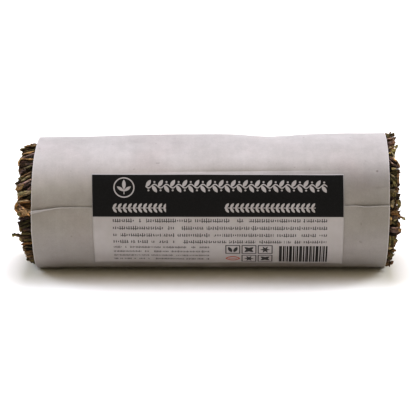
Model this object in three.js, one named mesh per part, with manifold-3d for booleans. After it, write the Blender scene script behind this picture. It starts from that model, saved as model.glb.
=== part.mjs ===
// A bunch of dried sage: leafy stems pressed into a round bundle and cut off flat at both ends,
// bound with cotton thread, inside a paper sleeve whose seam a stuck-on label holds shut.
//
// Millimetres. +Z is up and +X runs from the cut stems to the leaf tips. The front, where the
// sleeve's seam and the label are, faces -Y. The origin is on the surface that the bunch lies on,
// under its middle. Angles round the bunch are in degrees: 0 faces the front, 90 is straight up.
import * as THREE from "three";
import { mergeVertices } from "three/addons/utils/BufferGeometryUtils.js";
import Module from "manifold-3d";

const { degToRad, lerp, smoothstep } = THREE.MathUtils;

// Driving dimensions.
const HALF_LENGTH = 50; // middle to either cut end
const SLEEVE_LEFT = -45.6; // at the front
const SLEEVE_RIGHT = 46.7;
const SLEEVE_RADIUS = 17.65; // outside, at mid-length
const SLEEVE_TAPER = 0.33; // how much the radius grows from the middle to the leaf-tip end
const SLEEVE_BARREL = 0.1; // how much less the mean radius of the two ends is than the middle's
const REST_FLAT = 0.3; // depth pressed flat along the line that the sleeve rests on
const PAPER = 0.25; // thickness of the sleeve's sheet
const PAPER_GAP = 0.12; // between the two layers where the sheet laps itself
const LABEL = 0.2;
const LABEL_GAP = 0.15;
const STEM_END_RADIUS = 15.6; // of the pressed bundle where it comes out of the sleeve
const TIP_END_RADIUS = 17.15;
const TIP_FLARE = 0.4; // how far the leaf tips spring out past the sleeve
const THREAD_RADIUS = 0.45;
const THREAD_INSET = 1.75; // of the thread's middle, in from the sleeve's outside
const TWIST = degToRad(-0.4); // of the whole bundle, for each millimetre of length
const SLANT = degToRad(5); // how much further its stem end is twisted, out of the sleeve
const SAG = 0.55; // how far its stem end hangs below its axis

// The sheet of the sleeve starts under the lap and goes once round, over the top first.
const SHEET_START = -30;
const SEAM = 10; // the free edge of the outer layer
const SHEET_STEP = 10;
const LAP_RISE = 60; // the angle over which the sheet climbs onto its own start
const LABEL_LOW = -47.5;
const LABEL_HIGH = 37.6;
const LABEL_LEFT = -29.75; // of its top edge
const LABEL_RIGHT = 34.3;
const LABEL_TILT = 2.2; // degrees that its right end is lower round the sleeve
const LABEL_LEAN = 0.5; // how much further right its bottom edge is

// Soft shapes pressed into the paper: [x, spread in x, angle, spread in angle, height].
const DENTS = [
  [17.5, 8, 105, 32, -0.8], // a dent in the top
  [-18, 16, 95, 40, 0.1], // and a slight swelling beside it
  [0, 400, 37, 20, 0.85], // a rounded corner along the top of the label
];

const wasm = await Module();
wasm.setup();

// A repeatable number from 0 to 1 for one leafy stem, one piece of it and one use.
function draw(sprig, piece, use) {
  const wave = Math.sin(sprig * 12.9898 + piece * 78.233 + use * 37.719) * 43758.5453;
  return wave - Math.floor(wave);
}

// A unit box or cylinder whose points `place` has moved, as a closed solid.
function formed(geometry, place) {
  const at = geometry.getAttribute("position");
  const point = new THREE.Vector3();
  for (let i = 0; i < at.count; i++) {
    point.fromBufferAttribute(at, i);
    at.setXYZ(i, ...place(point).toArray());
  }
  geometry.deleteAttribute("normal");
  geometry.deleteAttribute("uv");
  const welded = mergeVertices(geometry, 1e-3);
  const triVerts = new Uint32Array(welded.index.array);
  const mesh = { numProp: 3, vertProperties: welded.getAttribute("position").array, triVerts };
  const solid = new wasm.Manifold(new wasm.Mesh(mesh));
  if (solid.volume() > 0) return solid;
  triVerts.reverse();
  return new wasm.Manifold(new wasm.Mesh(mesh));
}

// A sheet from a unit box: `place` gets how far across, along and through the sheet, each 0 to 1.
function sheet(across, along, place) {
  const box = new THREE.BoxGeometry(1, 1, 1, across, along, 1);
  return formed(box, (p) => place(p.x + 0.5, p.y + 0.5, p.z + 0.5));
}

// A rod from a unit cylinder: `place` gets the share of its radius, the angle and how far along.
function rod(sides, along, place) {
  const cylinder = new THREE.CylinderGeometry(1, 1, 1, sides, along);
  return formed(cylinder, (p) => place(Math.hypot(p.x, p.z), Math.atan2(p.z, p.x), p.y + 0.5));
}

// The solids as one body, with any hollow that they seal filled.
function joined(solids) {
  const whole = solids.reduce((sum, solid) => sum.add(solid));
  const shells = whole.decompose();
  return shells.reduce((most, shell) => (shell.volume() > most.volume() ? shell : most));
}

function node(name, solid, material) {
  const { vertProperties, triVerts } = solid.getMesh();
  const geometry = new THREE.BufferGeometry();
  geometry.setAttribute("position", new THREE.BufferAttribute(vertProperties, 3));
  geometry.setIndex(new THREE.BufferAttribute(triVerts, 1));
  geometry.computeVertexNormals();
  const mesh = new THREE.Mesh(geometry, material);
  mesh.name = name;
  return mesh;
}

// The shape that the bundle and its sleeve share.

function plainRadius(x) {
  const share = x / SLEEVE_RIGHT;
  return SLEEVE_RADIUS + SLEEVE_TAPER * share - SLEEVE_BARREL * share * share;
}

function axisHeight(x) {
  return plainRadius(x) - REST_FLAT;
}

function sleeveRadius(x, angle) {
  const pressed = DENTS.map(([atX, spreadX, atAngle, spreadAngle, height]) => {
    const round = THREE.MathUtils.euclideanModulo(angle - atAngle + 180, 360) - 180;
    return height * Math.exp(-(((x - atX) / spreadX) ** 2) - (round / spreadAngle) ** 2);
  });
  return plainRadius(x) + pressed.reduce((sum, height) => sum + height);
}

// A point at a radius and an angle round the bunch, kept at or above a height.
function around(x, angle, radius, lowest) {
  const a = degToRad(angle);
  const z = axisHeight(x) + radius * Math.sin(a);
  return new THREE.Vector3(x, -radius * Math.cos(a), Math.max(z, lowest));
}

// The paper sleeve and its label.

// How far the sheet's outer face stands off the plain section, at an angle counted on past 360.
function lapHeight(turn) {
  const start = SHEET_START + 360;
  return (PAPER + PAPER_GAP) * smoothstep(turn, start - LAP_RISE, start);
}

// The outer layer's corner at the stem end is bent outwards, and so its edge droops.
function bentCorner(x, turn) {
  const end = SEAM + 360;
  const share = smoothstep(-x, 36, -SLEEVE_LEFT) * smoothstep(turn, end - 22, end);
  return { out: 0.8 * share, droop: 4 * share };
}

// The sheet is rolled a little askew: away from the front its stem end draws back.
function leftEdge(turn) {
  const askew = degToRad(turn - 15);
  return SLEEVE_LEFT + 0.85 * (1 - Math.cos(askew)) + 0.3 * Math.sin(askew);
}

function paperSleeve() {
  const turns = (SEAM + 360 - SHEET_START) / SHEET_STEP;
  return sheet(turns, 10, (across, along, outward) => {
    const turn = SHEET_START + SHEET_STEP * turns * across;
    const x = lerp(leftEdge(turn), SLEEVE_RIGHT, along);
    const { out, droop } = bentCorner(x, turn);
    const inset = PAPER * (1 - outward);
    const radius = sleeveRadius(x, turn) + lapHeight(turn) + out - inset;
    return around(x, turn - droop, radius, inset);
  });
}

function label() {
  return sheet(10, 8, (across, along, outward) => {
    const x = lerp(LABEL_LEFT, LABEL_RIGHT, along) + LABEL_LEAN * (1 - across);
    const angle = lerp(LABEL_LOW, LABEL_HIGH, across) - LABEL_TILT * along;
    const lap = (PAPER + PAPER_GAP) * (1 - smoothstep(angle, SEAM + 3, SEAM + 15));
    const radius = sleeveRadius(x, angle) + lap + LABEL_GAP + LABEL * outward;
    return around(x, angle, radius, 0);
  });
}

// The bundle. Each leafy stem has a cell of the bundle's section, a unit disc, to itself.

const RINGS = [
  { count: 1, radius: 0 },
  { count: 5, radius: 0.38 },
  { count: 11, radius: 0.78 },
];
const CELL_GAP = 0.013; // from a cell's wall to the line half-way to its neighbour

const cells = RINGS.flatMap(({ count, radius }, ring) =>
  Array.from({ length: count }, (_, i) => {
    const angle = (2 * Math.PI * (i + 0.35 * draw(ring, i, 1) + 0.5 * ring)) / count;
    const out = radius + (ring ? 0.07 * (draw(ring, i, 2) - 0.5) : 0);
    return new THREE.Vector2(out * Math.cos(angle), out * Math.sin(angle));
  }),
);

// How far it is from the middle of a cell to its wall in a direction: its neighbours' or the disc's.
function reach(cell, angle) {
  const way = new THREE.Vector2(Math.cos(angle), Math.sin(angle));
  const along = cell.dot(way);
  let wall = Math.sqrt(along * along + 1 - cell.lengthSq()) - along;
  for (const other of cells) {
    const apart = other.clone().sub(cell);
    const facing = apart.dot(way) / apart.length();
    if (facing > 0) wall = Math.min(wall, (apart.length() / 2 - CELL_GAP) / facing);
  }
  return wall;
}

// The bundle is drawn in where the thread binds it and spreads at its two ends.
const BOUND_HALF = 38;
const SPREAD_HALF = 43.5;
const WAIST_INSET = THREAD_INSET + 1.2; // of the bundle's surface, in from the sleeve's

function bundleRadius(x) {
  const end = x < 0 ? STEM_END_RADIUS : TIP_END_RADIUS;
  const flare = TIP_FLARE * smoothstep(x, SLEEVE_RIGHT, SLEEVE_RIGHT + 2);
  const spread = smoothstep(Math.abs(x), BOUND_HALF, SPREAD_HALF);
  return lerp(plainRadius(x) - WAIST_INSET, end + flare, spread);
}

// How much shorter the bundle is cut than its full length: more towards its underside and its top,
// where `height` is -1 and 1.
function trimmed(side, height) {
  const [low, high] = side < 0 ? [2.4, 0.9] : [1.7, 0.3];
  return low * smoothstep(-height, -0.1, 1) + high * smoothstep(height, 0.7, 1);
}

// A point of a cell: its share of the way to the cell's wall, the angle about the cell's middle.
function inCell(cell, share, angle, x) {
  const out = share * reach(cell, angle);
  const section = new THREE.Vector2(out * Math.cos(angle), out * Math.sin(angle)).add(cell);
  const slant = SLANT * THREE.MathUtils.clamp((-x - SPREAD_HALF) / 6.5, 0, 1);
  section.rotateAround(new THREE.Vector2(), TWIST * x + slant);
  const side = Math.sign(x);
  const short = trimmed(side, section.y) * smoothstep(Math.abs(x), 45, HALF_LENGTH);
  const sag = SAG * smoothstep(-x, SPREAD_HALF, 48);
  section.multiplyScalar(bundleRadius(x));
  const height = axisHeight(x) - sag + section.y;
  return new THREE.Vector3(x - side * short, section.x, Math.max(height, 0.15));
}

const CORE_HALF = 44; // the leaves are pressed into one solid core as far as this
const CORE_SHARE = 0.97; // of its cell that the core fills
const ROOT = 43.4; // the leaves at an end stand out of the core from here
const ROOT_SHARE = 0.82; // they are this much closer to their stem there
const SWIRL = 0.3; // radians that a stem's leaves wind round it on their way to the end

// Leaves stand in rings round their stem: how many, the shares of the cell between which each lies,
// and how much of the ring they take up.
const LEAF_RINGS = [
  { count: 2, low: 0.4, high: 0.62, spread: 0.6 },
  { count: 4, low: 0.71, high: 0.97, spread: 0.86 },
];
const STEM_END = { side: -1, stem: 0.3, ragged: 1.6 };
const TIP_END = { side: 1, stem: 0.2, ragged: 2.2 };

// Its steps are closer together towards the ends, where the bundle spreads.
function core(cell) {
  return rod(8, 5, (share, angle, along) =>
    inCell(cell, CORE_SHARE * share, angle, CORE_HALF * Math.sin(Math.PI * (along - 0.5))),
  );
}

// The woody stem where it comes out of the leaves, cut a little askew.
function stemEnd(cell, sprig, { side, stem, ragged }) {
  const length = HALF_LENGTH - 0.6 * ragged * draw(sprig, side, 3);
  return rod(5, 1, (share, angle, along) => {
    const askew = along * 0.4 * share * Math.cos(angle + sprig);
    const x = side * (lerp(ROOT, length, along) + askew);
    return inCell(cell, stem * share, angle, x);
  });
}

// A pressed leaf: a strip of its ring, ragged at the end, winding a little round the stem.
function leaf(cell, sprig, { side, ragged }, { count, low, high, spread }, k) {
  const piece = 10 * count + side * (k + 1);
  const middle = (2 * Math.PI * (k + 0.12 * draw(sprig, piece, 4))) / count + sprig;
  const halfWidth = (Math.PI / count) * spread * lerp(0.78, 1, draw(sprig, piece, 5));
  const length = HALF_LENGTH - ragged * draw(sprig, piece, 6);
  return sheet(2, 1, (across, along, outward) => {
    const notch = along * 0.5 * ragged * (draw(sprig, piece, 7 + Math.round(2 * across)) - 0.7);
    const x = side * Math.min(lerp(ROOT, length, along) + notch, HALF_LENGTH);
    const angle = middle + halfWidth * (2 * across - 1) - side * SWIRL * along;
    const share = lerp(low, high, outward) * lerp(ROOT_SHARE, 1, along);
    return inCell(cell, share, angle, x);
  });
}

// A round rod lengthwise: `middle` gives its centre at each x.
function lengthwise(sides, steps, fromX, toX, radius, middle) {
  return rod(sides, steps, (share, turn, along) => {
    const thick = radius * share;
    const off = new THREE.Vector3(0, thick * Math.cos(turn), thick * Math.sin(turn));
    return middle(lerp(fromX, toX, along)).add(off);
  });
}

// A thin stem that stands out past the rest of its leafy stem, whose number `sprig` is: the share
// of the way from the cell's middle, in a direction in degrees, and how far along it ends.
const STRAYS = [
  { sprig: 10, side: -1, share: 0.74, way: 155, tip: 51, radius: 0.5 },
  { sprig: 11, side: 1, share: 0.74, way: 208, tip: 51, radius: 0.4 },
];

function stray(cell, { side, share, way, tip, radius }) {
  const middle = (x) => inCell(cell, share, degToRad(way), x);
  return lengthwise(4, 1, side * ROOT, side * tip, radius, middle);
}

function leafyStem(cell, sprig) {
  const pieces = [core(cell)];
  for (const end of [STEM_END, TIP_END]) {
    pieces.push(stemEnd(cell, sprig, end));
    for (const ring of LEAF_RINGS)
      for (let k = 0; k < ring.count; k++) pieces.push(leaf(cell, sprig, end, ring, k));
  }
  for (const one of STRAYS) if (one.sprig === sprig) pieces.push(stray(cell, one));
  return joined(pieces);
}

// The binding thread: wound out along the bundle and back across itself, with a turn round each
// end. Its tail comes out at the front of the stem end.

const THREAD_HALF = 34.5;
const THREAD_TURNS = 3.5; // of each pass from end to end
const THREAD_STEP = 1 / 12; // of a turn
const TAIL_ANGLE = 6;
const TAIL_END = -48.8;
const TAIL_RADIUS = STEM_END_RADIUS + 0.6; // of the tail's middle, clear of the stems' spread end

function threadRun(fromX, toX, fromTurn, toTurn) {
  const steps = Math.round(Math.abs(toTurn - fromTurn) / THREAD_STEP);
  return rod(4, steps, (share, turn, along) => {
    const x = lerp(fromX, toX, along) + THREAD_RADIUS * share * Math.cos(turn);
    const radius = plainRadius(x) - THREAD_INSET + THREAD_RADIUS * share * Math.sin(turn);
    return around(x, 360 * lerp(fromTurn, toTurn, along), radius, 0);
  });
}

function threadTail() {
  return lengthwise(4, 4, -THREAD_HALF - 0.5, TAIL_END, THREAD_RADIUS, (x) => {
    const out = smoothstep(-x, THREAD_HALF, SPREAD_HALF);
    const radius = lerp(plainRadius(x) - THREAD_INSET, TAIL_RADIUS, out);
    return around(x, TAIL_ANGLE * out, radius, 0);
  });
}

function bindingThread() {
  return joined([
    threadRun(-THREAD_HALF, THREAD_HALF, 0, THREAD_TURNS),
    threadRun(-THREAD_HALF, THREAD_HALF, 0, -THREAD_TURNS),
    threadRun(-THREAD_HALF, -THREAD_HALF - 1, -0.1, 1),
    threadRun(THREAD_HALF, THREAD_HALF + 1, THREAD_TURNS - 0.1, THREAD_TURNS + 1.1),
    threadTail(),
  ]);
}

const LEAF_COLOURS = ["#6b6242", "#5c4d36", "#7a6a45", "#57503a"];
const leafMaterials = LEAF_COLOURS.map(
  (color) => new THREE.MeshStandardMaterial({ color, roughness: 0.9, metalness: 0 }),
);
const paperMaterial = new THREE.MeshStandardMaterial({ color: "#cfcac5", roughness: 0.85 });
const labelMaterial = new THREE.MeshStandardMaterial({ color: "#e4e1de", roughness: 0.55 });
const threadMaterial = new THREE.MeshStandardMaterial({ color: "#a9743f", roughness: 0.95 });

const bunch = new THREE.Group();
bunch.add(node("paper_sleeve", paperSleeve(), paperMaterial));
bunch.add(node("label", label(), labelMaterial));
bunch.add(node("binding_thread", bindingThread(), threadMaterial));
cells.forEach((cell, sprig) => {
  const name = "leafy_stem_" + String(sprig + 1).padStart(2, "0");
  const material = leafMaterials[sprig % leafMaterials.length];
  bunch.add(node(name, leafyStem(cell, sprig), material));
});

export default bunch;
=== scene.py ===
"""The finish of a bunch of dried sage in a paper sleeve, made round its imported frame.

Lengths are in metres and +Z is up. +X runs from the cut stems to the leaf tips, and the front, with
the sleeve's seam and its label, faces -Y. Angles round the bunch are in degrees: 0 faces the front
and 90 is straight up. A point of the bunch is given by its x, its angle and its radius from the
bunch's axis.
"""

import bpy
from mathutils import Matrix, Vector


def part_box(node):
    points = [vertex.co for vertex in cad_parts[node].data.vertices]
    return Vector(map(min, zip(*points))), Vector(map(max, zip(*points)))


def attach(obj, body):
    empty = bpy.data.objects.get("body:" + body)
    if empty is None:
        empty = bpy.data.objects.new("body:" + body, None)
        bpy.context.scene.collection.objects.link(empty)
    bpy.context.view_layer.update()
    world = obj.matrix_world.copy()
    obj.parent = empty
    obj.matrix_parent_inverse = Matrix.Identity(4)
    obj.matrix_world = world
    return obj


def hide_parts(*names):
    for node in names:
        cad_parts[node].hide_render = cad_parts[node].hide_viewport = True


bl_info = {
    "name": "Sage Bunch",
    "version": (1, 0, 0),
    "blender": (4, 5, 0),
    "location": "View3D > Sidebar > Sage Bunch",
    "description": "Finishes a bunch of dried sage in a labelled paper sleeve",
    "category": "Add Mesh",
}

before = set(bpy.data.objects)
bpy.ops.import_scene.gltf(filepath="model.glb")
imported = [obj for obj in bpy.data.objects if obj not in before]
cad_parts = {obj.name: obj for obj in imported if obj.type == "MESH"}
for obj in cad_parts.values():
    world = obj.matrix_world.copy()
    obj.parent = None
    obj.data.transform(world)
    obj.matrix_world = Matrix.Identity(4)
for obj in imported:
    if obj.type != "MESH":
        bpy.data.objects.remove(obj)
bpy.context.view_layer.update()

import math

import bpy
import numpy as np
from bpy.props import FloatProperty, FloatVectorProperty, IntProperty, PointerProperty
from mathutils import Vector

MM = 0.001

# ---------------------------------------------------------------------------------------------
# The shape that the bundle and its sleeve share, as in the frame
# ---------------------------------------------------------------------------------------------

HALF_LENGTH = 50 * MM  # from the middle to either cut end
SLEEVE_LEFT = -45.3 * MM  # at the front
SLEEVE_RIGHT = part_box("paper_sleeve")[1].x
SLEEVE_RADIUS = 17.65 * MM  # outside, at mid-length
SLEEVE_TAPER = 0.33 * MM
SLEEVE_BARREL = 0.1 * MM
REST_FLAT = 0.3 * MM  # depth pressed flat along the line that the sleeve rests on
LAP_HEIGHT = 0.37 * MM  # of the outer layer's face over the inner one's
SHEET_START, SEAM = -30, 10  # the sheet's two edges, the second one on its second turn
LAP_RISE = 60  # degrees before the lap over which the sheet climbs
LABEL_LOW, LABEL_HIGH = -46.5, 37.6
LABEL_LEFT, LABEL_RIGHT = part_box("label")[0].x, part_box("label")[1].x + 0.05 * MM
LABEL_TILT = 2.2 / (64 * MM)  # degrees lower for each metre to the right
LABEL_LEAN = 0.5 * MM / 85  # metres further right for each degree down, at its left edge
STEM_END_RADIUS = 15.6 * MM
TIP_END_RADIUS = 17.15 * MM
TIP_FLARE = 0.4 * MM  # of the bundle, once it is out of the sleeve
TWIST = math.radians(-0.4) / MM

# How the camera sees the bunch: its height over the horizon, how far it is from the point in the
# middle of its frame, what the frame's width takes in there, and the frame's width in pixels.
VIEW_TILT = math.radians(15)
VIEW_DISTANCE = 540 * MM
VIEW_AIM = np.array((0.1 * MM, 0, 15.35 * MM))
VIEW_WIDTH = 110.3 * MM
FRAME = 416
PIXEL = VIEW_WIDTH / FRAME

# Soft shapes pressed into the paper: x, spread in x, angle, spread in angle, height.
DENTS = [
    (17.5 * MM, 8 * MM, 105, 32, -0.8 * MM),
    (-18 * MM, 16 * MM, 95, 40, 0.1 * MM),
    (0, 400 * MM, 37, 20, 0.85 * MM),
]


def smooth(value, low, high):
    """0 up to low, 1 from high on, and between them 3t² - 2t³ of how far along t it is."""
    t = np.clip((value - low) / (high - low), 0, 1)
    return t * t * (3 - 2 * t)


def lerp(low, high, share):
    """The value that share of the way from low to high."""
    return low + (high - low) * share


def draw(first, second, third):
    """A repeatable number from 0 to 1: what follows the point in a large multiple of a sine."""
    wave = np.sin(first * 12.9898 + second * 78.233 + third * 37.719) * 43758.5453
    return wave - np.floor(wave)


def noise(x, y=0.0, z=0.0):
    """Smooth noise from -1 to 1: random numbers at whole coordinates, blended as in smooth()."""
    x, y, z = np.broadcast_arrays(*(np.asarray(v, float) for v in (x, y, z)))
    low = [np.floor(v) for v in (x, y, z)]
    share = [smooth(v, at, at + 1) for v, at in zip((x, y, z), low)]
    total = 0
    for corner in range(8):
        steps = [corner >> axis & 1 for axis in range(3)]
        weight = np.prod([s if step else 1 - s for s, step in zip(share, steps)], axis=0)
        total = total + weight * draw(*(at + step for at, step in zip(low, steps)))
    return 2 * total - 1


def plain_radius(x):
    """The sleeve's outside radius without its dents: r0 + taper s - barrel s², s = x / end."""
    share = x / SLEEVE_RIGHT
    return SLEEVE_RADIUS + SLEEVE_TAPER * share - SLEEVE_BARREL * share**2


def axis_height(x):
    """The height of the bunch's axis over what it lies on."""
    return plain_radius(x) - REST_FLAT


def turned_from(angle, start):
    """How many degrees an angle is past another one, the shorter way round."""
    return (angle - start + 180) % 360 - 180


def sleeve_radius(x, angle):
    """The plain radius and, for each dent, its height times a Gaussian in x and in angle."""
    radius = plain_radius(x)
    for at_x, spread_x, at_angle, spread_angle, height in DENTS:
        past = turned_from(angle, at_angle)
        bell = np.exp(-(((x - at_x) / spread_x) ** 2) - (past / spread_angle) ** 2)
        radius = radius + height * bell
    return radius


def lap_height(turn):
    """How far the outer layer climbs over the inner one, by an angle counted on past 360."""
    return LAP_HEIGHT * smooth(turn, SHEET_START + 360 - LAP_RISE, SHEET_START + 360)


def around(x, angle, radius, along=0.0, lowest=0.0):
    """Points by x, angle and radius, moved along the circle's tangent, and no lower than lowest."""
    a = np.radians(angle)
    y = -radius * np.cos(a) + along * np.sin(a)
    z = axis_height(x) + radius * np.sin(a) + along * np.cos(a)
    return np.stack(np.broadcast_arrays(x, y, np.maximum(z, lowest)), -1)


def from_axis(points, x):
    """The way out to points from the bunch's axis at an x."""
    height = axis_height(x)
    return points * (0, 1, 1) - np.stack([0 * height, 0 * height, height], -1)


def unit(vectors):
    """Vectors of length 1 that point the same ways."""
    return vectors / np.maximum(np.linalg.norm(vectors, axis=-1, keepdims=True), 1e-12)


def in_frame(points):
    """The column and the row of the camera's frame, in pixels, in which points show."""
    offset = points - VIEW_AIM
    deep = offset @ (0, math.cos(VIEW_TILT), -math.sin(VIEW_TILT))
    high = offset @ (0, math.sin(VIEW_TILT), math.cos(VIEW_TILT))
    scale = VIEW_DISTANCE / (VIEW_DISTANCE + deep) / PIXEL
    return FRAME / 2 + offset[..., 0] * scale, FRAME / 2 - high * scale


# ---------------------------------------------------------------------------------------------
# Meshes
# ---------------------------------------------------------------------------------------------


def slab(outer, inner):
    """The points and faces of a closed sheet: one grid of points, a like one behind it, and a rim.

    The first grid's faces look along (next row - this row) x (next column - this column).
    """
    rows, cols = outer.shape[:2]
    count = rows * cols
    at = np.arange(count).reshape(rows, cols)
    front = np.stack([at[:-1, :-1], at[1:, :-1], at[1:, 1:], at[:-1, 1:]], -1).reshape(-1, 4)
    edge = np.concatenate([at[0, :-1], at[:-1, -1], at[-1, :0:-1], at[:0:-1, 0]])
    ahead = np.roll(edge, -1)
    rim = np.stack([edge, ahead, ahead + count, edge + count], -1)
    points = np.concatenate([outer.reshape(-1, 3), inner.reshape(-1, 3)])
    return points, np.concatenate([front, front[:, ::-1] + count, rim])


def tube(path, outwards, radius):
    """The points and faces of a closed tube. radius has a row for each point of the path.

    Each ring stands square to the path. Its first column points as nearly outwards as it can, and
    the others follow round. Each end closes on one point, repeated round the ring.
    """
    ahead = unit(np.gradient(path, axis=0))
    side = unit(np.cross(ahead, outwards))
    up = np.cross(side, ahead)
    sides = radius.shape[1]
    turn = 2 * np.pi * np.arange(sides) / sides
    way = np.cos(turn)[:, None] * up[:, None] + np.sin(turn)[:, None] * side[:, None]
    rings = path[:, None] + radius[..., None] * way
    at = np.arange(len(path) * sides).reshape(len(path), sides)
    after = np.roll(at, -1, axis=1)
    walls = np.stack([at[:-1], at[1:], after[1:], after[:-1]], -1).reshape(-1, 4)
    points = np.concatenate([rings.reshape(-1, 3), path[[0, -1]]])
    first, last = np.full(sides, len(points) - 2), np.full(sides, len(points) - 1)
    caps = np.concatenate(
        [np.stack([first, at[0], after[0]], -1), np.stack([last, after[-1], at[-1]], -1)]
    )
    return points, walls, caps


def facing_out(points, *faces):
    """The faces of a closed mesh, all turned round if its volume comes out negative.

    The volume is the sum, over the triangles of each face's fan, of a . (b x c) / 6.
    """
    volume = 0.0
    for part in faces:
        corners = points[part]
        for b, c in zip(range(1, part.shape[1] - 1), range(2, part.shape[1])):
            volume += (corners[:, 0] * np.cross(corners[:, b], corners[:, c])).sum() / 6
    return [part[:, ::-1] for part in faces] if volume < 0 else list(faces)


class Heap:
    """Closed meshes gathered into one, each point with a colour."""

    def __init__(self):
        self.points, self.colours, self.quads, self.triangles = [], [], [], []
        self.count = 0

    def add(self, points, quads, colours, triangles=None):
        """Adds a closed mesh whose faces count its own points from 0."""
        if triangles is None:
            (quads,) = facing_out(points, quads)
        else:
            quads, triangles = facing_out(points, quads, triangles)
        self.points.append(points)
        self.colours.append(np.broadcast_to(colours, (len(points), 3)))
        self.quads.append(quads + self.count)
        if triangles is not None:
            self.triangles.append(triangles + self.count)
        self.count += len(points)

    def piece(self, name, material):
        """The gathered mesh as an object that rides on the bunch."""
        quads = np.concatenate(self.quads)
        triangles = np.concatenate(self.triangles)
        mesh = bpy.data.meshes.new(name)
        points = np.concatenate(self.points)
        mesh.vertices.add(len(points))
        mesh.vertices.foreach_set("co", points.astype(np.float32).ravel())
        corners = np.concatenate([quads.ravel(), triangles.ravel()])
        starts = np.concatenate(
            [4 * np.arange(len(quads)), 4 * len(quads) + 3 * np.arange(len(triangles))]
        )
        mesh.loops.add(len(corners))
        mesh.loops.foreach_set("vertex_index", corners.astype(np.int32))
        mesh.polygons.add(len(starts))
        mesh.polygons.foreach_set("loop_start", starts.astype(np.int32))
        mesh.polygons.foreach_set("use_smooth", np.ones(len(starts), bool))
        mesh.update(calc_edges=True)
        if mesh.validate():
            raise RuntimeError(name + " has faces that Blender had to mend")
        tint = mesh.attributes.new("tint", "FLOAT_COLOR", "POINT")
        colours = np.concatenate([np.concatenate(self.colours), np.ones((len(points), 1))], 1)
        tint.data.foreach_set("color", colours.astype(np.float32).ravel())
        return placed(name, mesh, material)


def placed(name, mesh, material):
    """A mesh as an object of the scene that rides on the bunch and has one material."""
    mesh.materials.append(material)
    piece = bpy.data.objects.new(name, mesh)
    bpy.context.scene.collection.objects.link(piece)
    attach(piece, "root")
    return piece


def keep_place(piece, *nodes):
    """Stops if a piece stands more than a little way out of the frame's nodes that it replaces."""
    lows, highs = zip(*(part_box(node) for node in nodes))
    points = np.array([v.co for v in piece.data.vertices])
    spare = 2 * MM
    if (points.min(0) < np.min(lows, axis=0) - spare).any():
        raise RuntimeError(f"{piece.name} reaches below its node: {points.min(0)}")
    if (points.max(0) > np.max(highs, axis=0) + spare).any():
        raise RuntimeError(f"{piece.name} reaches above its node: {points.max(0)}")
    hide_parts(*nodes)


# ---------------------------------------------------------------------------------------------
# Settings that a user would change
# ---------------------------------------------------------------------------------------------


def a_number(name, description, default, **more):
    """A setting that is one number."""
    return FloatProperty(name=name, description=description, default=default, **more)


def a_length(name, description, default):
    """A setting in metres."""
    return a_number(name, description, default, unit="LENGTH")


def a_share(name, description, default):
    """A setting from 0 to 1."""
    return a_number(name, description, default, subtype="FACTOR", min=0, max=1)


def a_colour(name, description, default):
    """A setting that is a colour."""
    return FloatVectorProperty(
        name=name, description=description, default=default, subtype="COLOR", size=3
    )


# ---------------------------------------------------------------------------------------------
# Materials
# ---------------------------------------------------------------------------------------------


def feed(tree, pin, value):
    """Sets a node's input to a number or a colour, or joins a wire to it."""
    if isinstance(value, Wire):
        tree.links.new(value.socket, pin)
    elif pin.type == "RGBA" and len(value) == 3:
        pin.default_value = (*value, 1)
    else:
        pin.default_value = value


class Wire:
    """What flows from one shader node to another. Arithmetic with it adds Math nodes."""

    def __init__(self, tree, socket):
        self.tree, self.socket = tree, socket

    def math(self, operation, *others):
        """What a Math node makes of this and the others."""
        node = self.tree.nodes.new("ShaderNodeMath")
        node.operation = operation
        for pin, value in zip(node.inputs, (self, *others)):
            feed(self.tree, pin, value)
        return Wire(self.tree, node.outputs[0])

    def __add__(self, other):
        return self.math("ADD", other)

    def __sub__(self, other):
        return self.math("SUBTRACT", other)

    def __mul__(self, other):
        return self.math("MULTIPLY", other)

    def __truediv__(self, other):
        return self.math("DIVIDE", other)

    def __abs__(self):
        return self.math("ABSOLUTE")

    def least(self, *others):
        """The least of this and the others."""
        found = self
        for other in others:
            found = found.math("MINIMUM", other)
        return found

    def most(self, *others):
        """The most of this and the others."""
        found = self
        for other in others:
            found = found.math("MAXIMUM", other)
        return found


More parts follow.
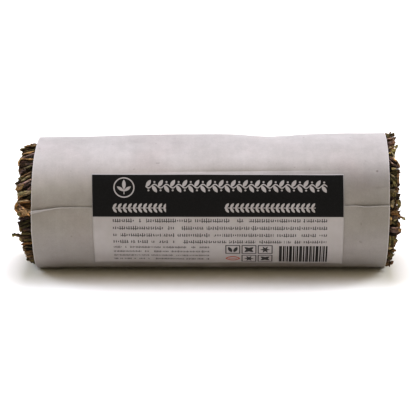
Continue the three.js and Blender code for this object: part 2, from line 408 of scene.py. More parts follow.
class Finish:
    """A material under construction: one Principled shader and what feeds it."""

    def __init__(self, name, **inputs):
        self.material = bpy.data.materials.new(name)
        self.material.use_nodes = True
        self.tree = self.material.node_tree
        self.shader = self.tree.nodes["Principled BSDF"]
        self.set(**inputs)

    def set(self, **inputs):
        """Sets inputs of the shader, whose names are written with _ for a space."""
        for name, value in inputs.items():
            feed(self.tree, self.shader.inputs[name.replace("_", " ")], value)

    def node(self, kind, output=0, settings=None, **inputs):
        """A new node's output, by number or name."""
        node = self.tree.nodes.new("ShaderNode" + kind)
        for name, value in (settings or {}).items():
            setattr(node, name, value)
        for name, value in inputs.items():
            feed(self.tree, node.inputs[name.replace("_", " ")], value)
        return Wire(self.tree, node.outputs[output])

    def place(self, scale=(1, 1, 1)):
        """Where a point is on the object, with each axis scaled."""
        where = self.node("TexCoord", "Object")
        return self.node("Mapping", Vector=where, Scale=scale)

    def grain(self, scale, detail=2.0, roughness=0.5, place=None):
        """Noise from 0 to 1, with `scale` lumps to the metre."""
        where = place or self.place()
        return self.node(
            "TexNoise", "Fac", Vector=where, Scale=scale, Detail=detail, Roughness=roughness
        )

    def ramp(self, value, low, high, to_low=0.0, to_high=1.0):
        """The value carried smoothly from one range to another."""
        node = self.tree.nodes.new("ShaderNodeMapRange")
        node.interpolation_type = "SMOOTHSTEP"
        for name, given in {
            "Value": value, "From Min": low, "From Max": high, "To Min": to_low, "To Max": to_high,
        }.items():
            feed(self.tree, node.inputs[name], given)
        return Wire(self.tree, node.outputs[0])

    def mix(self, share, first, second, blend="MIX"):
        """Two colours mixed by a share from 0 to 1."""
        node = self.tree.nodes.new("ShaderNodeMix")
        node.data_type, node.blend_type = "RGBA", blend
        for name, given in {"Factor_Float": share, "A_Color": first, "B_Color": second}.items():
            feed(self.tree, next(pin for pin in node.inputs if pin.identifier == name), given)
        return Wire(self.tree, next(p for p in node.outputs if p.identifier == "Result_Color"))

    def bump(self, height, distance, strength):
        """The shading normal over a height from 0 to 1 that stands for a distance."""
        return self.node("Bump", Height=height, Distance=distance, Strength=strength)


def near(finish, place, centre, reach, turned):
    """1 at a point of the object, fading out to 0 at a reach that may differ on each axis."""
    spot = finish.node(
        "Mapping", settings={"vector_type": "TEXTURE"}, Vector=place, Location=centre,
        Rotation=(0, turned, 0), Scale=reach,
    )
    away = finish.node("VectorMath", "Value", {"operation": "LENGTH"}, Vector=spot)
    return finish.ramp(away, 0.0, 1.0, 1.0, 0.0)


def parts_of(finish, place):
    """The x, y and z of a point of the object."""
    axes = finish.tree.nodes.new("ShaderNodeSeparateXYZ")
    feed(finish.tree, axes.inputs[0], place)
    return [Wire(finish.tree, axes.outputs[i]) for i in range(3)]


def on_sleeve(x, angle):
    """A point of the sleeve's outside, as three numbers."""
    return tuple(around(x, angle, sleeve_radius(x, angle)).tolist())


# Scuffs of the sleeve: x, angle, reach on each axis, depth, degrees turned about Y.
SCUFFS = [
    (-16.5 * MM, 55, (7 * MM, 5 * MM, 3.4 * MM), 0.2, 30),
    (-18.5 * MM, 52, (3.5 * MM, 4 * MM, 1.6 * MM), 0.15, 20),
    (43.5 * MM, 38, (0.5 * MM, 0.6 * MM, 0.4 * MM), 0.75, 0),
    (40.4 * MM, 78.5, (0.5 * MM, 0.6 * MM, 0.4 * MM), 0.35, 0),
    (44.5 * MM, 25, (2.6 * MM, 2 * MM, 0.5 * MM), 0.28, -8),
    (-12 * MM, 120, (6 * MM, 4 * MM, 2 * MM), 0.2, 0),
]
# Heights over which the paper's painted light and shade change: from painted shade low down it turns to
# painted light where the paper turns up to the lamps, then takes painted shade again towards its crown.
# Lower down, a painted warm tint of the shaded paper grows, and gives way to white again further up.
PAINTED_LIGHT_RISE, PAINTED_CROWN_SHADE = (23.2 * MM, 30.6 * MM), (31.5 * MM, 35.3 * MM)
YELLOWER, WHITER = (10 * MM, 17 * MM), (22.5 * MM, 29.5 * MM)
YELLOWEST = 0.942  # the share of its blue that is left


def sleeve_paper(paper):
    """Soft off-white paper: grey clouds, faint streaks across, stray fibres and a few scuffs, over
    painted shade low down and at the crown, painted light where it turns up to the lamps and a painted
    warm tint of its shade.
    """
    finish = Finish("sleeve_paper", Roughness=0.88, Specular_IOR_Level=0.18)
    place = finish.place()
    clouds = finish.ramp(finish.grain(75, 4, 0.6), 0.3, 0.72)
    colour = finish.mix(clouds, tuple(paper.shade), tuple(paper.colour))
    blush = finish.ramp(finish.grain(48, 2, 0.5, finish.place((1, 1.3, 1.3))), 0.5, 0.75)
    colour = finish.mix(blush * 0.5, colour, tuple(paper.blush))
    streaks = finish.grain(1, 2, 0.5, finish.place((900, 70, 70)))
    flecks = finish.grain(2600, 2, 0.7)
    blots = finish.grain(330, 3, 0.6)
    tone = finish.ramp(streaks, 0.25, 0.75, 0.98, 1.01) * finish.ramp(flecks, 0.2, 0.8, 0.95, 1.03)
    tone = tone * finish.ramp(blots, 0.3, 0.7, 0.955, 1.02)
    x, _, z = parts_of(finish, place)
    # Painted light and shade by height, shifting along x: darker low down, lighter from about 23 to 31
    # mm up where the paper turns to the lamps, and darker again at the crown.
    clean = z + (finish.grain(60, 3, 0.6) - 0.5) * 3 * MM - x * 0.055
    clean = finish.ramp(clean, *PAINTED_LIGHT_RISE, x * -0.8 + paper.painted_low_shade - 0.03, 1.13)
    tone = tone * (clean - finish.ramp(z, *PAINTED_CROWN_SHADE, 0.0, x * -1.2 + 0.17))
    # A painted warm tint of the shaded paper: its blue is turned down between about 10 and 29 mm up,
    # most from 17 to 22.5 mm.
    painted_warm_shade = finish.ramp(z, *YELLOWER, 0.985, YELLOWEST)
    painted_warm_shade = painted_warm_shade.most(finish.ramp(z, *WHITER, YELLOWEST, 1.0))
    colour = finish.mix(1.0, colour, finish.node(
        "CombineColor", Red=tone, Green=tone, Blue=tone * painted_warm_shade
    ), "MULTIPLY")
    dirt = finish.ramp(finish.grain(700, 0, 0.5), 0.81, 0.86) * 0.3  # specks
    for at_x, angle, reach, depth, turned in SCUFFS:
        mark = near(finish, place, on_sleeve(at_x, angle), reach, math.radians(turned))
        worn = finish.ramp(finish.grain(300, 2, 0.5), 0.3, 0.65, 0.25)
        dirt = dirt.most(mark * worn * depth)
    colour = finish.mix(dirt, colour, tuple(paper.dirt))
    to_end, to_edge, _ = parts_of(finish, finish.node("UVMap", settings={"uv_map": "flat"}))
    # The paper's colour is lighter along its cut ends, and a little along its free edge.
    rim = finish.ramp(to_end, 0.05, 0.32, paper.rim, 0.0)
    rim = rim.most(finish.ramp(to_edge, 0.05, 0.28, paper.rim * 0.35, 0.0))
    colour = finish.mix(rim, colour, tuple(min(1.3 * c, 1) for c in paper.colour))
    height = finish.grain(1500, 4, 0.65) * 0.6 + streaks * 0.4
    finish.set(Base_Color=colour, Normal=finish.bump(height, 0.05 * MM, 0.7))
    return finish.material


class Print:
    """What is printed on the label, worked out from the label's own map, in millimetres.

    `u` counts from the left edge and `v` down from the top edge. A shape is a wire that holds a
    point's distance from it, less than 0 inside, and ink() makes it a share of ink.
    """

    EDGE = 0.05  # over which ink fades at a shape's outline

    def __init__(self, finish):
        self.finish = finish
        self.u, self.v, _ = parts_of(finish, finish.node("UVMap", settings={"uv_map": "flat"}))

    def ink(self, distance):
        """How much ink is where the distance is known: 1 inside, 0 outside."""
        return self.finish.ramp(distance, -self.EDGE, self.EDGE, 1.0, 0.0)

    def bar(self, u0, u1, v0, v1):
        """A rectangle."""
        wide = abs(self.u - (u0 + u1) / 2) - (u1 - u0) / 2
        return wide.most(abs(self.v - (v0 + v1) / 2) - (v1 - v0) / 2)

    def disc(self, u, v, radius, of=None):
        """A disc: the distance from its middle, less its radius."""
        x, y = of or (self.u, self.v)
        x, y = x - u, y - v
        return (x * x + y * y).math("SQRT") - radius

    def leaf(self, u, v, length, width, turned, of=None):
        """A pointed leaf, which is where two discs overlap, turned by degrees."""
        x, y = of or (self.u, self.v)
        x, y = x - u, y - v
        c, s = math.cos(math.radians(turned)), math.sin(math.radians(turned))
        along, across = x * c + y * s, y * c - x * s
        radius = (length**2 + width**2) / (4 * width)
        off = radius - width / 2
        discs = [self.disc(0, side * off, radius, (along, across)) for side in (-1, 1)]
        return discs[0].most(discs[1])

    def repeated(self, start, pitch):
        """The label's map with u folded back to 0 at every pitch from a start."""
        return ((self.u - start) / pitch).math("FRACT") * pitch, self.v

    def leaf_row(self, u0, u1, v, height, pitch):
        """A stem with a pair of leaves at each pitch, one above it and one below."""
        fold = self.repeated(u0, pitch)
        long, wide = height * 0.62, height * 0.27
        above = self.leaf(pitch * 0.5, v - height * 0.25, long, wide, -52, fold)
        below = self.leaf(pitch * 0.5, v + height * 0.25, long, wide, 52, fold)
        stem = abs(self.v - v) - height * 0.045
        return above.least(below, stem).most(self.bar(u0, u1, v - height, v + height))

    def garland(self, u0, u1, v, height, pitch):
        """A wavy stem with large leaves that stand by turns above it and below it."""
        fold = self.repeated(u0, pitch)
        wave = (self.u - u0) * (2 * math.pi / pitch)
        stem = abs(self.v - v - wave.math("SINE") * (height * 0.13)) - height * 0.05
        long, wide = height * 0.6, height * 0.27
        shapes = [stem]
        for step, side, turned in ((0.25, -1, -58), (0.75, 1, 58)):
            shapes.append(self.leaf(pitch * step, v + side * height * 0.2, long, wide, turned, fold))
            shapes.append(self.disc(pitch * step, v - side * height * 0.3, height * 0.07, fold))
        return shapes[0].least(*shapes[1:]).most(self.bar(u0, u1, v - height, v + height))

    def strokes(self, u0, u1, v, height, pitch, rows):
        """Rows of small upright strokes, cut into groups where a noise along each row runs low."""
        row = ((self.v - v) / pitch).math("FLOOR")
        groups, heights = (
            self.finish.node(
                "TexNoise", "Fac", Scale=1.0, Detail=1.0,
                Vector=self.finish.node(
                    "CombineXYZ", X=self.u * (scale / height), Y=row * 7.31 + 0.37, Z=0.5
                ),
            )
            for scale in (0.55, 1.9)
        )
        down = ((self.v - v) / pitch).math("FRACT") * pitch - pitch / 2
        stroke = ((self.u / height) * 1.75).math("FRACT") * height - height * 0.32
        upright = (abs(stroke) * 0.57 - height * 0.12).most(
            abs(down) - heights * (height * 0.95) + height * 0.05
        )
        ties = (abs(down - height * 0.22) - height * 0.09).most(heights * -1.0 + 0.47)
        inside = self.bar(u0, u1, v, v + pitch * rows)
        ink = self.ink(upright.least(ties).most(inside))
        return ink * self.finish.ramp(groups, 0.36, 0.38)

    def stripes(self, u0, u1, v0, v1):
        """Upright stripes of uneven width."""
        wave = (self.u * 7.3).math("SINE") + (self.u * 11.9 + 1).math("SINE")
        return self.ink((wave * -0.1 - 0.03).most(self.bar(u0, u1, v0, v1)))

    def medallion(self, u, v, size, motif):
        """A small outlined box with crossed leaves, a flower or a pair of leaves in it."""
        wide, tall = size * 0.56, size * 0.47
        outline = abs(self.bar(u - wide, u + wide, v - tall, v + tall) + 0.16) - 0.13
        if motif == "cross":
            shapes = [self.leaf(u, v, size * 0.85, size * 0.3, way) for way in (-38, 38)]
        elif motif == "flower":
            ways = (0, 60, 120)
            shapes = [self.leaf(u, v, size * 0.74, size * 0.17, way) for way in ways]
        else:
            shapes = [
                self.leaf(u + side * size * 0.2, v, size * 0.62, size * 0.27, -90 + side * 24)
                for side in (-1, 1)
            ]
        return self.ink(outline.least(*shapes))


def label_print(label):
    """Satin paper printed with a black band of white leaves over rows of fine black ornament."""
    finish = Finish("printed_label", Roughness=0.6, Specular_IOR_Level=0.06)
    shapes = Print(finish)
    margin, band_foot = 5.15, 11.4
    band = shapes.ink(shapes.bar(0.1, 64.5, 0.24, band_foot))
    ring = abs(shapes.disc(8.25, 3.65, 2.55)) - 0.17
    sprig = shapes.leaf(8.25, 2.85, 2.6, 0.95, 90).least(
        shapes.leaf(7.35, 4.0, 2.2, 0.8, 35), shapes.leaf(9.15, 4.0, 2.2, 0.8, -35),
        shapes.bar(8.13, 8.37, 3.25, 5.45),
    )
    white = shapes.ink(ring.least(sprig))
    white = white.most(shapes.ink(shapes.garland(13.75, 60.35, 3.3, 3.7, 3.1067)))
    for u0, u1 in ((margin, 18.95), (33.95, 57.35)):
        white = white.most(shapes.ink(shapes.leaf_row(u0, u1, 9.05, 2.5, 1.3)))
    black = (band * (white * -1.0 + 1.0)).most(
        shapes.strokes(margin, 60.45, band_foot, 1.0, 2.07, 4) * 0.85,
        shapes.strokes(margin, 29.95, 19.7, 0.68, 1.6, 4) * 0.85,
        shapes.stripes(48, 60.55, 20, 26.7),
    )
    motifs = ("pair", "cross", "flower"), (None, "flower", "cross")
    for row, kinds in enumerate(motifs):
        for col, kind in enumerate(kinds):
            if kind:
                spot = 36 + 4.2 * col, 21.35 + 3.75 * row, 3.5, kind
                black = black.most(shapes.medallion(*spot) * 0.9)
    muted = shapes.ink((abs(shapes.leaf(36, 25.1, 3.5, 1.7, 0)) - 0.16).least(
        shapes.bar(34.9, 37.1, 25, 25.2)
    ))
    mottle = finish.ramp(finish.grain(160, 3, 0.6), 0.3, 0.7, 0.0, 1.0)
    paper = finish.mix(mottle, tuple(label.shade), tuple(label.colour))
    worn = finish.ramp(finish.grain(3200, 2, 0.6), 0.3, 0.7, 0.99, 1.0)
    colour = finish.mix(black * worn, paper, tuple(label.ink))
    colour = finish.mix(muted, colour, tuple(label.accent))
    height = finish.grain(900, 3, 0.6)
    finish.set(Base_Color=colour, Normal=finish.bump(height, 0.03 * MM, 0.6))
    return finish.material


def dried_leaf(sage):
    """Dull dried leaf: the piece's own tint, mottled, over a pebbled and finely veined skin. The tint
    holds painted shade too, deep in the bundle and on its dim laid strips.
    """
    finish = Finish(
        "dried_sage", Roughness=0.85, Specular_IOR_Level=0.14, Sheen_Weight=0.04,
        Sheen_Roughness=0.5,
    )
    tint = finish.node("Attribute", "Color", {"attribute_name": "tint"})
    mottle = finish.grain(1300, 3, 0.65)
    fibres = finish.grain(1, 3, 0.6, finish.place((520, 3200, 3200)))
    crumbs = finish.grain(950, 3, 0.65)
    tips = finish.ramp(parts_of(finish, finish.place())[0], 30 * MM, 40 * MM)
    skin = fibres + (crumbs - fibres) * tips
    tone = finish.ramp(mottle, 0.3, 0.7, 0.6, 1.3) * finish.ramp(skin, 0.32, 0.68, 0.38, 1.42)
    hue = finish.grain(640, 2, 0.6, finish.place((1, 1.01, 0.99)))
    colour = finish.mix(1.0, tint, finish.node(
        "CombineColor", Red=tone * finish.ramp(hue, 0.35, 0.65, 1.06, 0.97),
        Green=tone * finish.ramp(hue, 0.35, 0.65, 0.95, 1.0),
        Blue=tone * finish.ramp(crumbs, 0.35, 0.65, 0.98, 0.76),
    ), "MULTIPLY")
    dust = finish.ramp(finish.grain(2600, 2, 0.6), 0.6, 0.78)
    colour = finish.mix(dust * 0.25, colour, tuple(sage.dust))
    pebbles = finish.node(
        "TexVoronoi", "Distance", {"feature": "SMOOTH_F1"}, Vector=finish.place(), Scale=2200.0
    )
    height = pebbles * 0.3 + finish.grain(4200, 2, 0.6) * 0.2 + skin * 0.9
    finish.set(Base_Color=colour, Normal=finish.bump(height, 0.4 * MM, 1.0))
    return finish.material


def cotton(thread):
    """Twisted cotton: the piece's own tint, darker and lighter along its fibres."""
    finish = Finish("cotton_thread", Roughness=0.9, Specular_IOR_Level=0.2, Sheen_Weight=0.2)
    tint = finish.node("Attribute", "Color", {"attribute_name": "tint"})
    tone = finish.ramp(finish.grain(3500, 3, 0.6), 0.25, 0.75, 0.7, 1.25)
    colour = finish.mix(
        1.0, tint, finish.node("CombineColor", Red=tone, Green=tone, Blue=tone), "MULTIPLY"
    )
    finish.set(Base_Color=colour, Normal=finish.bump(finish.grain(6000, 2), 0.06 * MM, 0.6))
    return finish.material


# ---------------------------------------------------------------------------------------------
# The paper sleeve and its label
# ---------------------------------------------------------------------------------------------

# Creases of the paper: x, angle, degrees turned from lengthwise, half length, half width, height.
CREASES = [
    (8 * MM, 39, 0.1, 21 * MM, 0.8 * MM, -0.3 * MM),
    (32 * MM, 95, 0, 9 * MM, 8 * MM, -0.2 * MM),
    (14 * MM, 112, 58, 7 * MM, 0.7 * MM, -0.12 * MM),
    (20 * MM, 100, -52, 8 * MM, 0.6 * MM, 0.1 * MM),
    (24 * MM, 118, 75, 5 * MM, 0.5 * MM, 0.09 * MM),
    (10 * MM, 82, 35, 6 * MM, 0.5 * MM, 0.05 * MM),
    (43.6 * MM, 26, -12, 3 * MM, 0.35 * MM, 0.1 * MM),
    (41.5 * MM, 22, 28, 2.4 * MM, 0.3 * MM, -0.07 * MM),
    (-41 * MM, 28, 62, 5 * MM, 0.6 * MM, 0.06 * MM),
    (-38 * MM, 16, 24, 4 * MM, 0.4 * MM, 0.07 * MM),
    (-35 * MM, 150, 40, 9 * MM, 0.6 * MM, 0.08 * MM),
    (30 * MM, 200, -30, 12 * MM, 0.7 * MM, -0.1 * MM),
    (-8 * MM, 170, 65, 8 * MM, 0.6 * MM, 0.08 * MM),
]


def relief(x, angle, height):
    """How the paper stands off its smooth shape: crumples of three sizes, and the creases.

    A crumple is noise over the place on a cylinder, so that it meets itself round the bunch. A
    crease falls off as e^(-distance / half width) across, and as a Gaussian along.
    """
    a = np.radians(angle)
    places = x, SLEEVE_RADIUS * np.cos(a), SLEEVE_RADIUS * np.sin(a)
    total = -0.05 * MM
    for size, share in ((15 * MM, 0.62), (6 * MM, 0.28), (2.4 * MM, 0.1)):
        total = total + height * share * noise(*(place / size + 40 for place in places))
    for at_x, at_angle, turned, length, width, tall in CREASES:
        right, up = x - at_x, np.radians(turned_from(angle, at_angle)) * SLEEVE_RADIUS
        c, s = math.cos(math.radians(turned)), math.sin(math.radians(turned))
        along, across = right * c + up * s, up * c - right * s
        total = total + tall * np.exp(-np.abs(across) / width - (along / length) ** 2)
    return total


def left_edge(turn):
    """The sheet's end at the stems, which draws back away from the front as it is rolled askew."""
    askew = np.radians(turn - 15)
    return SLEEVE_LEFT + 0.85 * MM * (1 - np.cos(askew)) + 0.3 * MM * np.sin(askew)


def lip(x, paper):
    """How much of the free edge has sprung outwards at an x: none of it under the label."""
    beside = smooth(x, LABEL_RIGHT, LABEL_RIGHT + 6 * MM)
    beside = beside + 0.5 * smooth(-x, -LABEL_LEFT, 36 * MM)
    corner = np.clip((-x - 38 * MM) / (8 * MM), 0, 1) ** 0.9
    right = smooth(x, 40 * MM, SLEEVE_RIGHT)
    return paper.lip * (beside - 0.5 * right) + paper.corner * corner


def sleeve_sheet(paper):
    """The sheet as two grids of points, and for both the flat map.

    The map has the mm to the nearer one of the sheet's ends, and the mm to its free edge.

    It follows the sleeve's radius round by more than a turn. Its last stretch, of length L by
    lip(), rolls outwards: after an arc t of it, the sheet has turned by f = t / roll, but by no
    more than `fold`, and stands roll (1 - cos f) outwards and roll sin f along, plus what is
    straight after the fold.
    """
    end = SEAM + 360
    coarse, fine = 1.4, 0.4  # degrees from row to row, the fine ones where the long crease runs
    last = end - 14  # and finer still from here to the free edge
    turns = np.concatenate([
        np.arange(SHEET_START, 36, coarse), np.arange(36, 48, fine), np.arange(48, last, coarse),
        np.linspace(last, end, 44),
    ])
    shares = np.concatenate([[0, 0.0015], np.linspace(0.006, 0.994, 130), [0.9985, 1]])
    turn, share = np.meshgrid(turns, shares, indexing="ij")
    torn = 0.06 * MM
    left = left_edge(turn) + torn * noise(turn / 14, 1) + torn * 0.5 * noise(turn / 3, 2)
    right = SLEEVE_RIGHT + torn * (noise(turn / 17, 3) - 1) * 0.8 + torn * 0.3 * noise(turn / 3, 4)
    x = lerp(left, right, share)
    radius_here = sleeve_radius(x, turn)
    before_end = np.radians(end - turn) * radius_here
    arc = np.maximum(lip(x, paper) - before_end, 0)
    base = turn - np.degrees(arc / radius_here)
    fold = math.radians(paper.fold)
    turned = np.minimum(arc / paper.roll, fold)
    straight = np.maximum(arc - fold * paper.roll, 0)
    out = paper.roll * (1 - np.cos(turned)) + straight * np.sin(turned)
    along = paper.roll * np.sin(turned) + straight * np.cos(turned)
    radius = sleeve_radius(x, base) + lap_height(base) + relief(x, base, paper.crumple)
    thick = paper.thickness
    outer = around(x, base, radius + out, along)
    inner = around(
        x, base, radius + out - thick * np.cos(turned), along + thick * np.sin(turned), thick
    )
    return outer, inner, np.stack([np.minimum(x - left, right - x), before_end], -1) / MM


def label_sheet(label, paper):
    """The label as two grids of points and, for both, the flat map: mm right and mm down.

    It lies on the sleeve, bridges the step of its seam, and lifts a little at its corners. Its edges
    aren't quite parallel: it tilts more at its foot, and leans less at its right end.
    """
    angles = np.linspace(LABEL_HIGH, LABEL_LOW, 84)
    angle, x = np.meshgrid(angles, np.linspace(LABEL_LEFT, LABEL_RIGHT, 110), indexing="ij")
    across, below = x - LABEL_LEFT, (LABEL_HIGH - angle) / (LABEL_HIGH - LABEL_LOW)
    angle = angle - LABEL_TILT * across * (1 + 0.6 * below)
    aside = across / (LABEL_RIGHT - LABEL_LEFT)
    x = x + LABEL_LEAN * (LABEL_HIGH - angle) * (1 - 0.6 * aside)
    step = LAP_HEIGHT * (1 - smooth(angle, SEAM + 3, SEAM + 15))
    low = sleeve_radius(x, angle) + relief(x, angle, paper.crumple) + step + label.gap
    down = np.radians(LABEL_HIGH - angles)[:, None] * (SLEEVE_RADIUS + 0.85 * MM) + 0 * x
    from_side = np.minimum(across, LABEL_RIGHT - LABEL_LEFT - across)
    from_end = np.minimum(down, down.max() - down)
    unstuck = 2.5 * MM  # from a corner
    corner = np.exp(-((from_side / unstuck) ** 2) - (from_end / unstuck) ** 2)
    low = low + label.lift * corner * (0.6 + 0.4 * noise(x / (20 * MM), angle / 30))
    low = low + 0.05 * MM * np.exp(-from_end / (0.5 * MM)) * (1 + noise(x / (7 * MM), 9))
    outer = around(x, angle, low + label.thickness)
    inner = around(x, angle, low)
    rising = 0.42 * aside * smooth(below, 0, 0.3)  # the print is cut a little askew
    flat = np.stack([across / MM, down / MM + rising], -1)
    return outer, inner, flat


class SageSleeve(bpy.types.PropertyGroup):
    thickness: a_length("Thickness", "Thickness of the sleeve's paper", 0.2 * MM)
    crumple: a_length("Crumple", "Height of the soft crumples in the paper", 0.16 * MM)
    lip: a_length(
        "Lip", "How much of the free edge has sprung outwards beside the label", 0.5 * MM
    )
    corner: a_length(
        "Corner", "How much more of it is turned back at the stem end's corner", 0.95 * MM
    )
    roll: a_length("Roll", "Radius at which the free edge turns back", 0.2 * MM)
    fold: a_number("Fold", "The most that the free edge turns back, in degrees", 142.0)
    # This setting paints shade low on the paper: it is the share of the paper's brightness left there.
    painted_low_shade: a_share("Grime", "What handling has left of the paper's brightness low down", 0.78)
    # By this share the paper's colour is lighter along its cut edges.
    rim: a_share("Rim", "How clean the paper is along its cut edges", 0.7)
    colour: a_colour("Colour", "The clean paper", (0.464, 0.436, 0.431))
    shade: a_colour("Shade", "The grey clouds in the paper", (0.411, 0.384, 0.375))
    blush: a_colour("Blush", "The faint pink patches", (0.464, 0.411, 0.406))
    dirt: a_colour("Dirt", "Scuffs and specks", (0.16, 0.132, 0.12))


class SageLabel(bpy.types.PropertyGroup):
    thickness: a_length("Thickness", "Thickness of the label", 0.1 * MM)
    gap: a_length("Gap", "The glue between the label and the sleeve", 0.03 * MM)
    lift: a_length("Lift", "How far the corners have come unstuck", 0.18 * MM)
    colour: a_colour("Colour", "The label's paper", (0.45, 0.427, 0.43))
    shade: a_colour("Shade", "The duller patches of it", (0.41, 0.385, 0.384))
    ink: a_colour("Ink", "The black ink", (0.0116, 0.01131, 0.01131))
    accent: a_colour("Accent", "The one motif in red-brown", (0.42, 0.1, 0.06))


def sheet_piece(name, outer, inner, material, flat):
    """A closed sheet as a piece, with the flat map of its two faces."""
    points, faces = slab(outer, inner)
    (faces,) = facing_out(points, faces)
    mesh = bpy.data.meshes.new(name)
    mesh.from_pydata(points, [], faces.tolist())
    mesh.polygons.foreach_set("use_smooth", np.ones(len(faces), bool))
    spots = np.concatenate([flat.reshape(-1, 2)] * 2)
    layer = mesh.uv_layers.new(name="flat")
    layer.uv.foreach_set("vector", spots[faces.ravel()].astype(np.float32).ravel())
    return placed(name, mesh, material)


class SAGE_OT_paper_sleeve(bpy.types.Operator):
    """Roll the paper sleeve, with its lap, its sprung edge and its turned-back corner"""

    bl_idname = "sage.paper_sleeve"
    bl_label = "Paper sleeve"

    def execute(self, context):
        paper = context.scene.sage_sleeve
        outer, inner, flat = sleeve_sheet(paper)
        piece = sheet_piece("sleeve", outer, inner, sleeve_paper(paper), flat)
        keep_place(piece, "paper_sleeve")
        return {"FINISHED"}


class SAGE_OT_label(bpy.types.Operator):
    """Stick the printed label over the sleeve's seam"""

    bl_idname = "sage.label"
    bl_label = "Label"

    def execute(self, context):
        label, paper = context.scene.sage_label, context.scene.sage_sleeve
        outer, inner, flat = label_sheet(label, paper)
        piece = sheet_piece("stuck_label", outer, inner, label_print(label), flat)
        keep_place(piece, "label")
        return {"FINISHED"}


# ---------------------------------------------------------------------------------------------
# The bundle: leafy stems, each in its own cell of the bundle's section, a unit disc
# ---------------------------------------------------------------------------------------------

RINGS = [(1, 0.0), (5, 0.38), (11, 0.78)]  # how many cells, and how far from the axis
CELL_GAP = 0.013  # between a cell and the line half-way to its neighbour
SLANT = math.radians(5)  # how much further the stem end is twisted beyond the sleeve
BOUND_HALF, SPREAD_HALF = 38 * MM, 43.5 * MM  # the bundle spreads out between these
WAIST_INSET = 2.3 * MM  # of the bound bundle's surface, in from the sleeve's
FREE_HALF = 44 * MM  # past it, the ends reach out unevenly
OPEN_HALF = 48 * MM  # past it, they are as shaggy, and the stem end hangs as low, as they get
SAG = 0.55 * MM  # how far the stem end hangs below the bundle's axis
CORE_HALF, LEAF_ROOT = 43 * MM, 41.5 * MM  # where the cores end, and where the leaves start
SWIRL = 0.3  # radians that leaves and stalks turn round their stem, from root to end

# How far the cut ends reach, in mm, at heights across the bunch, in mm, as they appear in the
# camera's view: the bundle was cut by hand, and not squarely.
REACH = {
    -1: [
        (-14.5, 47.2), (-12, 47.8), (-8.5, 48.6), (-4, 48.9), (-1.5, 49.5), (1, 50), (4.2, 49),
        (6, 49.9), (8.5, 49), (13, 49.3), (16, 48),
    ],
    1: [
        (-15, 48.1), (-12, 48.6), (-10, 48.6), (-7.5, 49.2), (-6, 50), (-2, 49.5), (0.5, 49.9),
        (3.5, 49.8), (6.5, 49.5), (10, 49.8), (13.5, 48.6), (16.5, 49.2), (19.5, 48.5),
    ],
}


def cell_middles():
    """The middle of each cell: rings of evenly spread angles, each moved a little at random."""
    middles = []
    for ring, (count, radius) in enumerate(RINGS):
        for i in range(count):
            angle = 2 * math.pi * (i + 0.35 * draw(ring, i, 1) + 0.5 * ring) / count
            out = radius + (0.07 * (draw(ring, i, 2) - 0.5) if ring else 0)
            middles.append((out * math.cos(angle), out * math.sin(angle)))
    return np.array(middles)


CELLS = cell_middles()


def reach(cell, angle):
    """How far a cell's wall is from its middle, in radians of direction.

    The wall is the disc's edge, or the line half-way to a neighbour where that is nearer.
    """
    way = np.stack([np.cos(angle), np.sin(angle)], -1)
    along = way @ cell
    wall = np.sqrt(along**2 + 1 - cell @ cell) - along
    for other in CELLS:
        apart = other - cell
        length = math.hypot(*apart)
        if length > 0:
            facing = np.maximum(way @ apart / length, 1e-9)
            wall = np.minimum(wall, (length / 2 - CELL_GAP) / facing)
    return wall


def out_of_sleeve(x):
    """How far the leaf tips are out of the sleeve and so have sprung open: from 0 to 1."""
    return smooth(x, SLEEVE_RIGHT, SLEEVE_RIGHT + 2 * MM)


def sagged(x):
    """How far the bundle hangs below its axis, which it does at the stem end."""
    return SAG * smooth(-x, SPREAD_HALF, OPEN_HALF)


def bundle_radius(x):
    """The bundle's radius: bound at its waist, spread at its ends and flared at the leaf tips."""
    end = np.where(x < 0, STEM_END_RADIUS, TIP_END_RADIUS + TIP_FLARE * out_of_sleeve(x))
    return lerp(plain_radius(x) - WAIST_INSET, end, smooth(np.abs(x), BOUND_HALF, SPREAD_HALF))


def in_cell(cell, share, angle, x, shag=0.0):
    """Points by their share of the way to the cell's wall, in a direction, at an x.

    The section is twisted about the bundle's axis by its x. `shag` moves the points by noise over
    where they are, all alike, so that neighbours stay apart. Past FREE_HALF, the lengths are scaled
    so that the longest end at the bunch's REACH.
    """
    share, angle, x = np.broadcast_arrays(share, angle, x)
    out = share * reach(cell, angle)
    y, z = cell[0] + out * np.cos(angle), cell[1] + out * np.sin(angle)
    slanted = np.clip((-x - SPREAD_HALF) / (HALF_LENGTH - SPREAD_HALF), 0, 1)
    turn = TWIST * x + SLANT * slanted
    c, s, radius = np.cos(turn), np.sin(turn), bundle_radius(x)
    y, z = radius * (y * c - z * s), radius * (y * s + z * c)
    free = shag * smooth(np.abs(x), FREE_HALF + 0.5 * MM, OPEN_HALF)
    size = 2.3 * MM  # of a lump of the noise
    swell = 1 + free * noise(x / size + 9, y / size + 30, z / size + 50) / STEM_END_RADIUS
    length = x + free * 0.8 * noise(x / size + 70, y / size + 11, z / size + 23)
    level = (axis_height(x) + z - VIEW_AIM[2]) * math.cos(VIEW_TILT) + y * math.sin(VIEW_TILT)
    ends = [np.interp(level / MM, *zip(*REACH[side])) * MM for side in (-1, 1)]
    cut = (np.where(x < 0, *ends) - FREE_HALF) / (HALF_LENGTH - FREE_HALF)
    length = np.where(
        np.abs(length) > FREE_HALF, np.sign(x) * lerp(FREE_HALF, np.abs(length), cut), length
    )
    flare = 0.7 * MM * smooth(z / radius, 0.75, 1) * out_of_sleeve(x)
    height = axis_height(x) + z * swell - sagged(x) + flare
    return np.stack([length, y * swell, np.maximum(height, 0.15 * MM)], -1)


def normals(grid):
    """The unit normal at each point of a grid, across the ways to its next row and column."""
    return unit(np.cross(np.gradient(grid, axis=0), np.gradient(grid, axis=1)))


